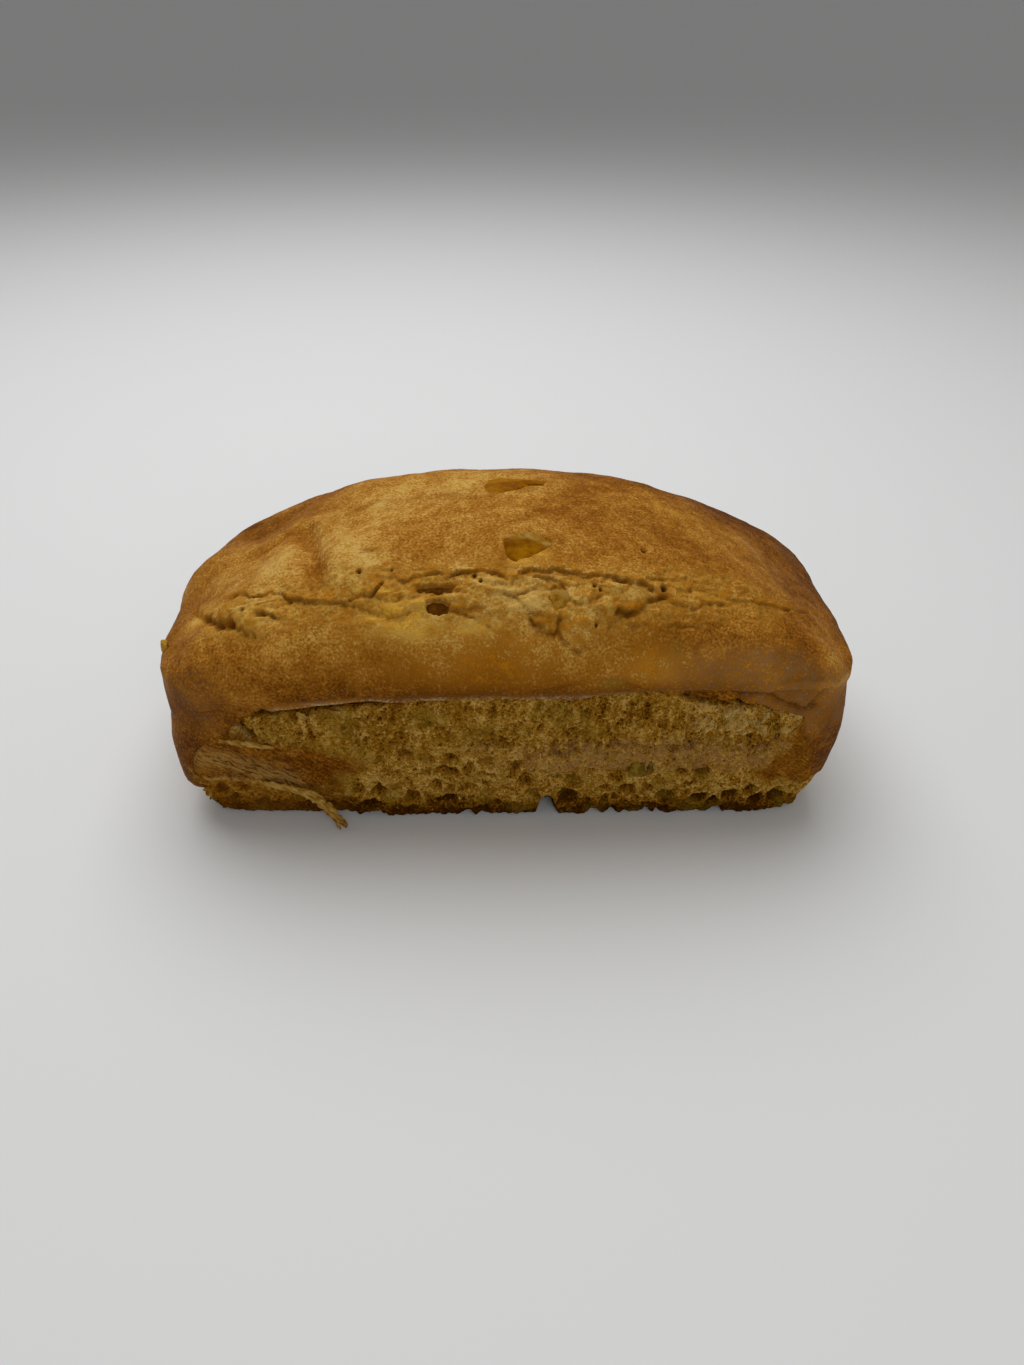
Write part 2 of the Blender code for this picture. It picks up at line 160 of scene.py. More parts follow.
# The ends of the tear, as height and x.
TEAR_LEFT = (
    (0, -75), (8, -77), (14, -79), (25, -76), (31, -71), (36, -67), (38.5, -63), (41, -59), (46, -56),
)
TEAR_RIGHT = (
    (0, 78.5), (8, 80.5), (13, 81), (24, 78), (32, 76.5), (35.5, 75), (38, 70), (41, 63), (44.5, 57),
    (48, 55),
)
TEAR_RAGS, TEAR_RAG_SIZE = 1.3, 5.0
FOOT_HEIGHT, FOOT_LEFT, FOOT_RIGHT = 12.0, 2.4, 0.4
UNDERCUT_LEFT, UNDERCUT_RIGHT = 4.2, 0.4
NOTCH_X, NOTCH_WIDTH, NOTCH_HEIGHT, NOTCH_DEPTH = 12.0, 3.2, 7.0, 5.0
BASE_SQUARENESS, WIDE_SQUARENESS = 11.0, 5.0
DOME_POWER, DOME_EDGE = 2.7, 0.50
RIDGE_POWER_LEFT, RIDGE_POWER_RIGHT, RIDGE_DROP = 2.0, 1.95, 0.75
FLARE_POWER, SHOULDER, CURL = 0.76, 0.92, 0.34
RECESS = 6.5        # the crust stands back this far behind the open crumb
print("loaf", LEFT_END + RIGHT_END, "x", FRONT + BACK, "x", HEIGHT, "mm")

# %% Curves and noise
NOISE_STEP = np.array((7.31, 3.17, 5.71))        # how far one seed lies from the next
CELL_STEP = 13.7


def smooth_step(value, low, high):
    """0 under low, 1 over high, smooth between."""
    t = np.clip((value - low) / (high - low), 0.0, 1.0)
    return t * t * (3.0 - 2.0 * t)


def fade(value, low, high):
    """1 under low, 0 over high, smooth between."""
    return 1.0 - smooth_step(value, low, high)


def plateau(value, start, full, fall, end):
    """1 between full and fall, 0 before start and after end."""
    return smooth_step(value, start, full) * fade(value, fall, end)


def bell(distance, width, power=2):
    """1 at no distance, almost 0 beyond the width; a higher power flattens its top."""
    return np.exp(-((distance / width) ** power))


def quarter_sine(share):
    return np.sin(0.5 * math.pi * np.clip(share, 0.0, 1.0))


def along_line(value, line):
    """Second coordinate of a line of points, where the first one is value."""
    return np.interp(value, *np.array(line, float).T)


def fractal(points, size, seed, octaves=3):
    """Smooth noise of about -1 to 1; size is the length of its largest waves in mm."""
    scaled = points / np.array(size) + seed * NOISE_STEP
    return np.array([noise.fractal(place, 1.0, 2.0, octaves) for place in scaled.tolist()])


def cell_gap(points, size, seed):
    """How much further the second nearest of scattered points is than the nearest, in cell sizes."""
    scaled = points / size + seed * CELL_STEP
    found = np.array([noise.voronoi(place)[0][:2] for place in scaled.tolist()])
    return found[:, 1] - found[:, 0]


def bent_places(points, waves, seeds):
    """x and y of the points, bent by noise; a wave is its size and its reach."""
    x, y, _ = points.T.copy()
    for step, (size, reach) in enumerate(waves):
        x += reach * fractal(points, size, seeds[0] + step, 2)
        y += reach * fractal(points, size, seeds[1] + step, 2)
    return x, y


# %% The outline, the dome and the wall
def outline_share(u, v, squareness):
    ring = np.maximum(np.maximum(np.abs(u), np.abs(v)), 1e-9)
    power = (np.abs(u) / ring) ** squareness + (np.abs(v) / ring) ** squareness
    return np.maximum(power, 1.0) ** (-1.0 / squareness)


def end_level(x):
    return np.where(x < 0.0, LEFT_LEVEL, RIGHT_LEVEL)


def share_of_end(x):
    return np.abs(x) / np.where(x < 0.0, LEFT_END, RIGHT_END)


def wide_level(x):
    """Height at which the crust is widest."""
    return MIDDLE_LEVEL - (MIDDLE_LEVEL - end_level(x)) * share_of_end(x) ** 4


def lip_level(x):
    slope = (LIP_RIGHT - LIP_LEFT) / LIP_RUN
    return LIP_LEFT + slope * (x - TORN_LEFT) - LIP_FALL * share_of_end(x) ** 6


def dome_level(x, y):
    share_x = share_of_end(x)
    share_y = np.abs(y) / np.where(y < 0.0, FRONT, BACK)
    ring = (share_x**WIDE_SQUARENESS + share_y**WIDE_SQUARENESS) ** (1.0 / WIDE_SQUARENESS)
    rim = (1.0 - np.clip(ring, 0.0, 1.0) ** DOME_POWER) ** DOME_EDGE
    power = np.where(x < 0.0, RIDGE_POWER_LEFT, RIDGE_POWER_RIGHT)
    ridge = 1.0 - RIDGE_DROP * np.clip(share_x, 0.0, 1.0) ** power
    level = wide_level(x)
    return level + (HEIGHT - level) * rim * ridge


def tear_ends(z):
    return along_line(z, TEAR_LEFT), along_line(z, TEAR_RIGHT)


def torn_share(x, z, soft=3.0):
    """1 where the front wall has lost its crust, 0 where the crust is whole."""
    left_end, right_end = tear_ends(z)
    place = np.array((x, np.zeros_like(x), z)).T
    bent = x + TEAR_RAGS * fractal(place, TEAR_RAG_SIZE, 61) * smooth_step(z, 0.0, 6.0)
    return plateau(bent, left_end, left_end + soft, right_end - soft, right_end)


def wall_points(u, v, level, torn=None, back_off=0.0):
    """Side wall under the lip; torn is the share of lost crust and back_off how deep it stands."""
    squareness = BASE_SQUARENESS + (WIDE_SQUARENESS - BASE_SQUARENESS) * level
    share = outline_share(u, v, squareness)
    z = lip_level(u * share * np.where(u < 0.0, LEFT_END, RIGHT_END)) * level
    flare = quarter_sine(z / end_level(u)) ** FLARE_POWER
    end = np.where(u < 0.0, BASE_LEFT + (LEFT_END - BASE_LEFT) * flare,
                   BASE_RIGHT + (RIGHT_END - BASE_RIGHT) * flare)
    x = u * share * end
    lost = torn_share(x, z) if torn is None else torn
    lip = LIP_FRONT + LIP_STEP * (1.0 - lost)
    front = BASE_FRONT + (lip - BASE_FRONT) * quarter_sine(level) ** FLARE_POWER - back_off * lost
    back = BASE_BACK + (BACK - BASE_BACK) * flare
    return np.array((x, v * share * np.where(v < 0.0, front, back), z))


def swell_points(u, v, climb):
    """Swollen crust over the lip; climb runs from 0 at the lip's edge to 1 at the shoulder."""
    share = outline_share(u, v, WIDE_SQUARENESS)
    under = np.clip(climb / CURL, 0.0, 1.0)
    turn = np.clip((climb - CURL) / (1.0 - CURL), 0.0, 1.0)
    shrink = np.cos(turn * math.acos(SHOULDER))
    lip = LIP_FRONT + LIP_STEP
    front = lip + (FRONT - lip) * quarter_sine(under)
    x = u * share * np.where(u < 0.0, LEFT_END, RIGHT_END) * shrink
    y = v * share * np.where(v < 0.0, front, BACK) * shrink
    lost = torn_share(x, np.full_like(x, LIP_LEFT))
    edge = lip_level(x) + RIM_BAND * np.where(v > -1.0, 1.0, 1.0 - lost)
    low = edge + (wide_level(x) - edge) * under
    return np.array((x, y, np.where(climb < CURL, low, dome_level(x, y))))


# %% [markdown]
# ## The crust
#
# On the loaf the crust is one skin: smooth over the dome, with a fold along the front where the
# dough was turned over on itself. The fold is a string of creases with ragged lips, some of them
# double, and lumps of dough between them. A texture alone would slide flat under the light, so each
# crease is cut into the mesh: it is a line seen from above, with a depth, a half width, and a step
# that lifts its upper lip over its lower one. Noise bends the lines first, so that they tear like
# dough.

# %% Creases, valleys and lumps of the fold
# A crease is its points (x, y), depth, half width and step, all in mm.
CREASES = (
    (((-81.9, -1.1), (-78.2, -10.9), (-73.5, -19.4), (-68.5, -26.3), (-65.1, -28)), 4.2, 1.5, 1.0),
    (((-65, -28.7), (-61.4, -32.1), (-58.4, -33.2)), 1.6, 0.9, 0.5),
    (((-66.1, -17), (-63.3, -18.1), (-59.8, -22.8), (-57.4, -23.1), (-54.3, -24.1), (-51.5, -27.1)),
     1.9, 0.8, 0.8),
    (((-57.6, -28.9), (-55.5, -29.9), (-54.2, -30.6)), 2.4, 0.7, 0.4),
    (((-58, -27.3), (-55, -26.6)), 1.0, 0.6, 0.2),
    (((-51.5, -27.1), (-46.6, -28.7), (-43.5, -29.8), (-41.2, -30.3), (-38, -30.9)), 1.5, 0.75, 0.8),
    (((-36.5, -30.5), (-35.8, -30.3), (-33.2, -29.8), (-31.2, -30.3), (-29.5, -29.7), (-29, -28.2)),
     2.6, 0.55, 0.6),
    (((-35.8, -32.1), (-33.8, -32.7), (-30.5, -34.3), (-27.4, -35.7), (-24.5, -35.7), (-22.4, -34.9)),
     0.9, 0.7, 0.4),
    (((-30.7, -30.8), (-28.2, -31.7), (-25.6, -32.3), (-24.4, -32.2), (-24.8, -30.3), (-24.9, -29.6)),
     1.1, 0.5, 0.5),
    (((-25.5, -27.5), (-23.1, -27.8), (-20.6, -26.7), (-17.6, -27), (-15, -26.8)), 1.2, 0.6, 0.6),
    (((-12.3, -27.1), (-10.1, -26.6), (-7.7, -26.6), (-4.5, -27), (-2.2, -27.3), (0.4, -28.8), (2.7, -29)),
     1.7, 0.65, 0.9),
    (((2.7, -29), (3.8, -27.9), (6.5, -27.1), (9.7, -27.1), (12.7, -27.1), (17.3, -27.7), (19.9, -27.9)),
     1.4, 0.6, 0.8),
    (((7.1, -28.4), (9.7, -28.6), (12, -29), (13.6, -29.9), (14.7, -30.5)), 1.5, 0.6, 0.4),
    (((19.9, -27.9), (23.2, -28.1), (26.2, -28), (29.4, -28.8), (32.1, -28.5), (34.8, -29.1)),
     2.0, 0.75, 0.8),
    (((34, -27.2), (36.5, -26.4), (37.9, -25.9)), 1.4, 0.8, 0.4),
    (((37.6, -28.7), (40.6, -28.5), (43.2, -27.4), (45.7, -27.1), (47.6, -26.6), (51, -26.2)),
     1.0, 0.55, 0.5),
    (((-5.2, -30.7), (-2.9, -31.9), (0, -32.3), (2, -32.6), (3.4, -33.3), (5, -34.1), (8.1, -35.1)),
     1.2, 0.55, 0.4),
    (((2, -32.5), (5, -31.5), (6.7, -31.1), (8.3, -30.5), (10.3, -30.2), (12.5, -30.6), (14.5, -32.4)),
     1.2, 0.6, 0.4),
    (((14.8, -32.6), (16.3, -33.6), (18.2, -33.6), (20.9, -32.3), (22.6, -31.9)), 1.2, 0.55, 0.4),
    (((-20.5, -30.3), (-17, -30.4), (-12, -30.3)), 1.0, 1.0, 0.5),
    (((-13.3, -34.3), (-9.7, -34.5), (-7.1, -34.4), (-4.9, -35)), 1.0, 0.7, 0.4),
    (((-13.1, -34.7), (-10.7, -35.1), (-9.4, -35.4), (-7.8, -35.9), (-6.2, -36.2), (-3.3, -35.9)),
     1.4, 0.5, 0.4),
    (((-6.5, -36.6), (-4.9, -37.1), (-3.9, -37.5)), 1.0, 0.55, 0.2),
    (((5.6, -35.9), (6.9, -37.1), (8.5, -37.2), (10.1, -37.3), (11.7, -37.8), (12.5, -37.3),
      (12.7, -36.4)), 2.0, 0.7, 0.6),
    (((12.7, -37.6), (13.6, -38.6), (15.8, -39.4), (17.4, -39.4), (18.2, -39)), 1.5, 0.6, 0.4),
    (((5.9, -34.7), (7.5, -35.1)), 0.9, 0.6, 0.3),
    (((26.1, -34.4), (28.1, -34.6), (29.1, -34.5), (31.4, -33.7), (33.5, -32.3), (35.3, -31.3),
      (37.8, -30.7)), 3.2, 1.0, 1.0),
    (((37.8, -30.7), (39.9, -31.4), (42.6, -31.6), (45, -31.4), (48.1, -29.9), (53.2, -29.5),
      (54.7, -27.6)), 1.5, 0.5, 0.7),
    (((53, -27.1), (55.9, -26.8), (59, -25.8), (62.8, -24.8), (67.4, -23.1), (71.1, -20.8)),
     1.4, 0.55, 0.6),
    (((74.8, -19.2), (79.7, -14), (84.1, -11.3)), 1.1, 0.6, 0.5),
    (((40, -35.6), (42.3, -35.5), (44.7, -35.2)), 1.0, 0.55, 0.2),
    (((29.1, -37), (30.7, -37), (33, -36.6)), 1.0, 0.6, 0.3),
    (((24.1, -36.3), (24.7, -35.9), (26.4, -35.4), (28.1, -35.1)), 0.7, 0.7, 0.3),
    (((-58.5, 11.5), (-56.5, 8.4), (-53.5, 7.6)), 0.6, 1.4, 0.2),
    (((-33.5, -18.6), (-32.3, -17.9), (-29.7, -19.6)), 0.7, 0.8, 0.3),
)
# A valley is a wide soft crease.
VALLEYS = (
    (((-53.1, 6.6), (-49.1, -5.2), (-46.3, -14.9), (-45.4, -20.1), (-45.1, -24.9)), 4.2, 2.6, 0.0),
    (((-68, 4), (-63, 2), (-58.5, 6)), 1.6, 2.0, 0.0),
    (((6, -9.5), (9.5, -5.6), (13.5, -1.5)), 1.2, 1.6, 0.0),
    (((16, 5), (22, 9), (27, 12)), 1.4, 2.0, 0.0),
)
# A lump is its place (x, y), radius and height.
LUMPS = (
    (-59.5, -28.5, 5.0, 2.2), (-66, -24, 4.5, 1.2), (-73, -27, 6, 1.2), (-38, -20, 9, 1.2),
    (-27.5, -30.2, 3.0, 0.9), (-26, -35, 5, 1.6), (-19, -31.2, 4, 0.9), (-8, -31.5, 3.5, 0.6),
    (9, -33.2, 3.4, 1.3), (16.3, -36, 3.6, 1.9), (28, -28.4, 6.5, 1.5), (21, -31.5, 4, 0.7),
    (43, -31.5, 6, 1.0), (-30, 14, 16, 1.0), (-82, 14, 11, 2.6), (-84, -16, 10, 0.5), (-68, 23, 10, -2.4),
    (-58, 22, 9, -1.2), (-54, -12, 7, 1.5), (-37, -14, 8, 1.2), (86, -22, 8, -0.8), (40, 12, 18, 1.0),
    (-1, 16.5, 2.4, 0.5),
)
# A hollow is its place (x, y), half lengths along and across, and depth.
HOLLOWS = (
    (4.5, 11.0, 8.5, 4.5, 0.2), (-16.0, -30.2, 6.5, 2.4, 0.5), (-21.4, -34.6, 2.6, 0.9, 0.6),
    (-28.0, -35.0, 3.2, 0.9, 0.5),
)
CREASE_WIDTH, CREASE_DEPTH, CREASE_STEP = 0.45, 0.52, 0.30
LOWER_SLOPE, UPPER_SLOPE = 1.9, 0.8        # the lower side of a crease is flatter than the upper one
STEP_REACH, STEP_EDGE, RUST_WIDTH = 4.0, 0.22, 1.5
# The dark seam of a crease is painted shade, laid into it as colour; deeper creases get more of it.
CREASE_SHADE_MARGIN, FULL_SHADE_DEPTH = 0.06, 2.2        # a crease of that depth is fully dark
RAGGED = ((9.0, 1.0), (2.6, 0.55), (1.1, 0.22))        # size and reach of the waves that bend the creases


def side_of_line(x, y, line):
    """Distance to a line of points, and 1 over it or -1 under it."""
    nearest = np.full_like(x, 1e3)
    side = np.ones_like(x)
    for (start_x, start_y), (end_x, end_y) in zip(line[:-1], line[1:]):
        run_x, run_y = end_x - start_x, end_y - start_y
        t = ((x - start_x) * run_x + (y - start_y) * run_y) / (run_x**2 + run_y**2)
        t = np.clip(t, 0.0, 1.0)
        away = np.hypot(x - start_x - t * run_x, y - start_y - t * run_y)
        turn = np.sign(run_x * (y - start_y) - run_y * (x - start_x))
        side = np.where(away < nearest, turn, side)
        nearest = np.minimum(nearest, away)
    return nearest, side


def crease_relief(x, y, creases, patchy):
    """Height, painted crease shade and rusty upper rim of a set of creases; patchy fades them here and
    there.
    """
    height, seam, rust = np.zeros((3, len(x)))
    for line, depth, half_width, step in creases:
        away, side = side_of_line(x, y, line)
        slope = np.where(side < 0.0, LOWER_SLOPE, UPPER_SLOPE) if step > 0.0 else 1.0 / CREASE_WIDTH
        height -= CREASE_DEPTH * depth * bell(away, CREASE_WIDTH * half_width * slope) * patchy
        height += CREASE_STEP * step * side * (1.0 - bell(away, STEP_EDGE, 1)) * bell(away, STEP_REACH, 1)
        dark = bell(away, CREASE_WIDTH * half_width + CREASE_SHADE_MARGIN) * patchy
        seam = np.maximum(seam, min(depth / FULL_SHADE_DEPTH, 1.0) * dark)
        rust = np.maximum(rust, min(step, 1.0) * bell(away, RUST_WIDTH) * (side > 0.0))
    return height, seam, rust


def patches(x, y, table, power=2):
    """Sum of soft patches; each is its place (x, y), half lengths along and across, and amount."""
    total = np.zeros_like(x)
    for place_x, place_y, along, across, amount in table:
        total += amount * bell(np.hypot((x - place_x) / along, (y - place_y) / across), 1.0, power)
    return total


print(len(CREASES), "creases,", len(VALLEYS), "valleys and", len(LUMPS), "lumps")

# %% Holes in the crust
# The holes that show fruit are drawn as outlines (x, y); each has a depth.
HOLES = {
    "peel_top": (((0.5, -20.2), (0.7, -18.2), (2.0, -16.9), (4.8, -16.0), (8.3, -16.7), (10.6, -18.0),
                  (11.2, -19.2), (9.4, -21.2), (7.3, -22.3), (5.5, -23.2), (3.2, -24.2), (1.4, -23.0)),
                 1.5),
    "sultana_crest": (((-4.0, 8.4), (-3.2, 12.6), (0.9, 14.0), (4.6, 13.0), (7.6, 13.2), (10.6, 12.3),
                       (9.6, 10.0), (6.4, 9.9), (3.9, 7.3), (0.7, 5.0), (-2.6, 5.0)), 0.25),
    "raisin_upper": (((-20.5, -29.9), (-19.8, -29.3), (-15.9, -29.1), (-12.4, -29.5), (-11.7, -30.1),
                      (-12.6, -30.7), (-15.9, -30.6), (-19.4, -30.8)), 0.9),
    "raisin_lower": (((-18.4, -33.0), (-16.5, -32.5), (-14.6, -32.7), (-12.7, -33.6), (-13.7, -34.7),
                      (-16.2, -35.0), (-17.9, -34.6)), 1.5),
    "peel_bit": (((10.4, -32.6), (11.6, -31.8), (14, -31.9), (14.6, -33), (13.2, -34.4), (11.6, -35),
                  (10.8, -34)), 0.7),
}
RIM_WAVES = ((2.6, 0.5),)        # size and reach of the waves that bend the rims
HOLE_EDGE = (0.98, 1.16)        # inner and outer edge of a hole's wall, as shares of its outline
# A pinhole is its place (x, y) and radius.
PINHOLES = (
    (-34.3, -24.3, 0.55), (33.9, -17.9, 0.7), (37.4, -28.7, 0.8), (-61.5, -26.8, 0.5), (21, -36.6, 0.35),
    (20.8, -30, 0.4), (22.1, -30.8, 0.4), (-7.1, -27.6, 0.5), (-5.6, -29.1, 0.4), (-26.6, -24.8, 0.3),
)
PINHOLE_DEPTH = 1.3


def outline_reach(x, y, outline):
    """Distance from the middle of an outline, as a share of the outline's own distance there."""
    corners = np.array(outline, float)
    middle = corners.mean(axis=0)
    corners -= middle
    corners = corners[np.argsort(np.arctan2(corners[:, 1], corners[:, 0]))]
    turns = np.arctan2(corners[:, 1], corners[:, 0])
    across, up = x - middle[0], y - middle[1]
    index = np.searchsorted(turns, np.arctan2(up, across)) % len(corners)
    start_x, start_y = corners[index - 1].T
    run_x, run_y = (corners[index] - corners[index - 1]).T
    return (across * run_y - up * run_x) / (start_x * run_y - start_y * run_x)


def hole_depth(points):
    """Depth of the holes for fruit at each point, in mm."""
    rim_x, rim_y = bent_places(points, RIM_WAVES, (27, 28))
    depth = np.zeros_like(rim_x)
    for outline, deep in HOLES.values():
        depth += deep * fade(outline_reach(rim_x, rim_y, outline), *HOLE_EDGE)
    return depth


def pinhole_share(x, y):
    share = np.zeros_like(x)
    for place_x, place_y, radius in PINHOLES:
        share = np.maximum(share, bell(np.hypot(x - place_x, y - place_y), radius, 4))
    return share


print(len(HOLES), "holes for fruit and", len(PINHOLES), "pinholes")

# %% [markdown]
# The front of the swollen crust has its own marks, seen from in front: the lip's loose flap, the
# crack that goes on round the right corner, and the slit at the left end of the tear.

# %% Relief of the crust
# A crease of the front is drawn in (x, z).
FRONT_CREASES = (
    (((7.5, 48.3), (12, 49.2), (16.4, 50.1), (20, 51.8), (27, 51.2), (32, 48.3)), 1.0, 1.3, 0.9),
    (((54, 45.3), (57, 45.2), (60.4, 45.4), (63.8, 45.3), (65.6, 43.5), (67.2, 42.4), (70.2, 40.9),
      (73.2, 39.2), (75.1, 38.9), (77.6, 39.0)), 2.6, 1.1, 1.2),
    (((63.8, 45.8), (65.7, 48.4), (68.6, 49.2), (72, 48.6), (77, 47.6)), 0.6, 1.6, 0.5),
    (((75.1, 38.9), (75.9, 40.5), (77.2, 41.8), (79.8, 43.2), (81.2, 44.2), (83.2, 45.0)), 1.6, 1.0, 0.8),
    (((-67.5, 37.6), (-64.6, 35.6), (-62.8, 31)), 1.6, 0.7, 0.0),
    (((-59, 37.4), (-61.5, 36.9), (-64, 37.4)), 0.9, 0.8, 0.3),
)
WAVE_SIZE, WAVE_HEIGHT = 34.0, 1.1
GRAIN_SIZE, GRAIN_HEIGHT = 9.0, 0.35
SKIN_SIZE, SKIN_HEIGHT = 4.0, 0.08
DIMPLE_SIZE, DIMPLE_HEIGHT = 3.2, 0.16
FOLD_SPINE = ((-66, -24), (-57, -27.5), (-45, -28), (-30, -30), (0, -31), (20, -33), (38, -28), (60, -25))
FOLD_REACH = 6.5


def fold_share(x, y):
    """1 along the craggy part of the fold."""
    away, _ = side_of_line(x, y, FOLD_SPINE)
    return bell(away, FOLD_REACH, 4)


def smooth_relief(points):
    """Waves, lumps and hollows of the whole crust, and the dimples of the roll over the lip."""
    x, y, z = points.T
    height = WAVE_HEIGHT * fractal(points, WAVE_SIZE, 1, 2)
    height += GRAIN_HEIGHT * fractal(points, GRAIN_SIZE, 2)
    height *= 0.3 + 0.7 * smooth_step(z, 5.0, 30.0)
    height += SKIN_HEIGHT * fractal(points, SKIN_SIZE, 5, 2)
    lumps = [(place_x, place_y, radius, radius, tall) for place_x, place_y, radius, tall in LUMPS]
    height += patches(x, y, lumps) * smooth_step(z, 24.0, 44.0) - patches(x, y, HOLLOWS, 4)
    roll = smooth_step(-y, 30.0, 38.0) * plateau(z, 41.0, 48.0, 62.0, 68.0)
    roll *= 0.35 + 0.65 * smooth_step(fractal(points, 10.0, 54, 2), -0.3, 0.4)
    return height + DIMPLE_HEIGHT * roll * fractal(points, DIMPLE_SIZE, 53)


def crag_relief(points):
    """Broken dough between the creases: ridges with sharp tops, and pits."""
    ridges = 0.95 * np.abs(fractal(points, (6.0, 2.6, 5.0), 21)) - 0.25
    furrows = 0.45 * np.abs(fractal(points, (2.8, 1.3, 2.2), 22, 2))
    return ridges - furrows - 0.35 * smooth_step(fractal(points, 1.2, 24, 2), 0.25, 0.55)


def crust_relief(points):
    """Height over the plain form, and the shares of painted crease shade, pinhole, crag and rusty rim."""
    x, y, z = points.T
    upper = smooth_step(z, 49.0, 53.0)
    patchy = 0.25 + 0.75 * smooth_step(fractal(points, 4.0, 25, 2), -0.5, 0.3)
    bend_x, bend_y = bent_places(points, RAGGED, (11, 15))
    groove, seam, rust = crease_relief(bend_x, bend_y, CREASES, patchy)
    valley = crease_relief(bend_x, bend_y, VALLEYS, 1.0)[0]
    crag = fold_share(x, y) * upper
    front = smooth_step(-y, 27.0, 31.0) * smooth_step(z, 28.0, 33.0) * (1.0 - upper)
    front_x = x + 0.4 * fractal(points, 2.6, 23, 2)
    front_groove, front_crease_shade, _ = crease_relief(front_x, z, FRONT_CREASES, np.maximum(patchy, 0.8))
    hole = pinhole_share(x, y) * smooth_step(z, 50.0, 54.0)
    height = smooth_relief(points) - hole_depth(points) + crag * crag_relief(points)
    height += upper * (groove + valley) + front * front_groove - PINHOLE_DEPTH * hole
    return height, {"seam": np.maximum(upper * seam, front * front_crease_shade), "hole": hole,
                    "crag": crag, "rust": rust * upper}


print(len(FRONT_CREASES), "creases of the front")

# %% [markdown]
# Round the foot of the ends and the back the skin stayed in the tin as well, so there the wall
# stands back a little and shows crumb. Its upper edge wanders.

# %% The torn foot of the ends and the back
FOOT_WAVE_SIZE, FOOT_WAVE_HEIGHT = 16.0, 4.0
FOOT_RAG_SIZE, FOOT_RAG_HEIGHT, FOOT_EDGE = 3.0, 1.2, 0.9
FOOT_PORE_SIZE, FOOT_PORE_DEPTH = 3.2, 0.9


def foot_share(points):
    """1 on the torn foot, 0 over its wandering edge."""
    edge = FOOT_HEIGHT + FOOT_WAVE_HEIGHT * fractal(points * (1, 1, 0), FOOT_WAVE_SIZE, 4)
    edge += FOOT_RAG_HEIGHT * fractal(points, FOOT_RAG_SIZE, 6, 2)
    return fade(points[:, 2], edge - FOOT_EDGE, edge + FOOT_EDGE)


def foot_relief(points, share):
    """Height of the foot over the plain wall, and its pores."""
    x, _, z = points.T
    depth = along_line(x, ((-BASE_LEFT, FOOT_LEFT), (BASE_RIGHT, FOOT_RIGHT)))
    undercut = along_line(x, ((-BASE_LEFT, UNDERCUT_LEFT), (BASE_RIGHT, UNDERCUT_RIGHT)))
    depth += undercut * (1.0 - np.clip(z / FOOT_HEIGHT, 0.0, 1.0))
    open_pores = smooth_step(cell_gap(points, FOOT_PORE_SIZE, 3), 0.04, 0.5)
    return -share * (depth + FOOT_PORE_DEPTH * open_pores * smooth_step(z, 0.5, 3.0)), open_pores


# %% [markdown]
# The mesh starts as a cube with a grid on every face. Its quads are halved along the fold and round
# the ends of the tear, and once more on the creases, on the crack of the right corner and by the
# slit, because a crease is only a millimetre wide. The zones are told by places on the cube, which
# runs from -1 to 1 on each axis.

# %% A cube with a grid on every face, finer where it is asked
WALL_ROWS, LIP_ROWS, SWELL_ROWS = 30, 3, 18
ROWS = WALL_ROWS + LIP_ROWS + SWELL_ROWS
CRUST_CELLS = (144, 70, ROWS)
ON_FACE = 0.999


def gridded_cube(counts):
    bm = bmesh.new()
    bmesh.ops.create_cube(bm, size=2.0)
    for axis, count in enumerate(counts):
        along = [edge for edge in bm.edges
                 if abs(edge.verts[1].co[axis] - edge.verts[0].co[axis]) > 1.0]
        bmesh.ops.subdivide_edges(bm, edges=along, cuts=count - 1, use_grid_fill=True)
    return bm


def halve_quads(bm, wanted):
    """Halves the edges of all faces whose middle is wanted."""
    chosen = [face for face in bm.faces if wanted(face.calc_center_median())]
    edges = {edge for face in chosen for edge in face.edges}
    bmesh.ops.subdivide_edges(bm, edges=list(edges), cuts=1, use_grid_fill=True)


def row_of(w):
    return (w + 1.0) * 0.5 * ROWS


def near_fold(centre):
    top = centre.z > ON_FACE and centre.y < -0.36
    front = centre.y < -ON_FACE and row_of(centre.z) > WALL_ROWS - 2
    return (top or front) and abs(centre.x) < 0.98


def on_fold(centre):
    top = centre.z > ON_FACE and centre.y < -0.52
    front = centre.y < -ON_FACE and row_of(centre.z) > ROWS - 2
    return (top or front) and abs(centre.x) < 0.9


def near_tear_end(centre):
    return centre.y < -ON_FACE and abs(centre.x) > 0.62 and row_of(centre.z) < WALL_ROWS - 2


def on_crack(centre):
    beside = 0.60 < centre.x < 0.93 or -0.80 < centre.x < -0.64
    return centre.y < -ON_FACE and beside and -6 < row_of(centre.z) - WALL_ROWS < LIP_ROWS + 4


def crust_form(u, v, w):
    """Place of each point of the cube on the plain loaf."""
    row = row_of(w)
    wall = wall_points(u, v, np.clip(row / WALL_ROWS, 0.0, 1.0), back_off=RECESS)
    climb = (row - WALL_ROWS - LIP_ROWS) / SWELL_ROWS
    swell = swell_points(u, v, np.clip(climb, 0.0, 1.0))
    blend = quarter_sine(np.clip((row - WALL_ROWS) / LIP_ROWS, 0.0, 1.0))
    return (wall + (swell - wall) * blend).T


print("cube with", CRUST_CELLS, "cells")

# %% [markdown]
# Every piece is shaped as a bmesh and finished in the same way: its points are moved, shares that
# the finishes read are stored on them, and the mesh becomes an object that rides on the part.

# %% From a bmesh to a finished piece
def coordinates(bm):
    return np.array([vert.co for vert in bm.verts]).T


def point_normals(bm):
    bm.normal_update()
    return np.array([vert.normal for vert in bm.verts])


def move_points(bm, places):
    for vert, place in zip(bm.verts, places.tolist()):
        vert.co = place


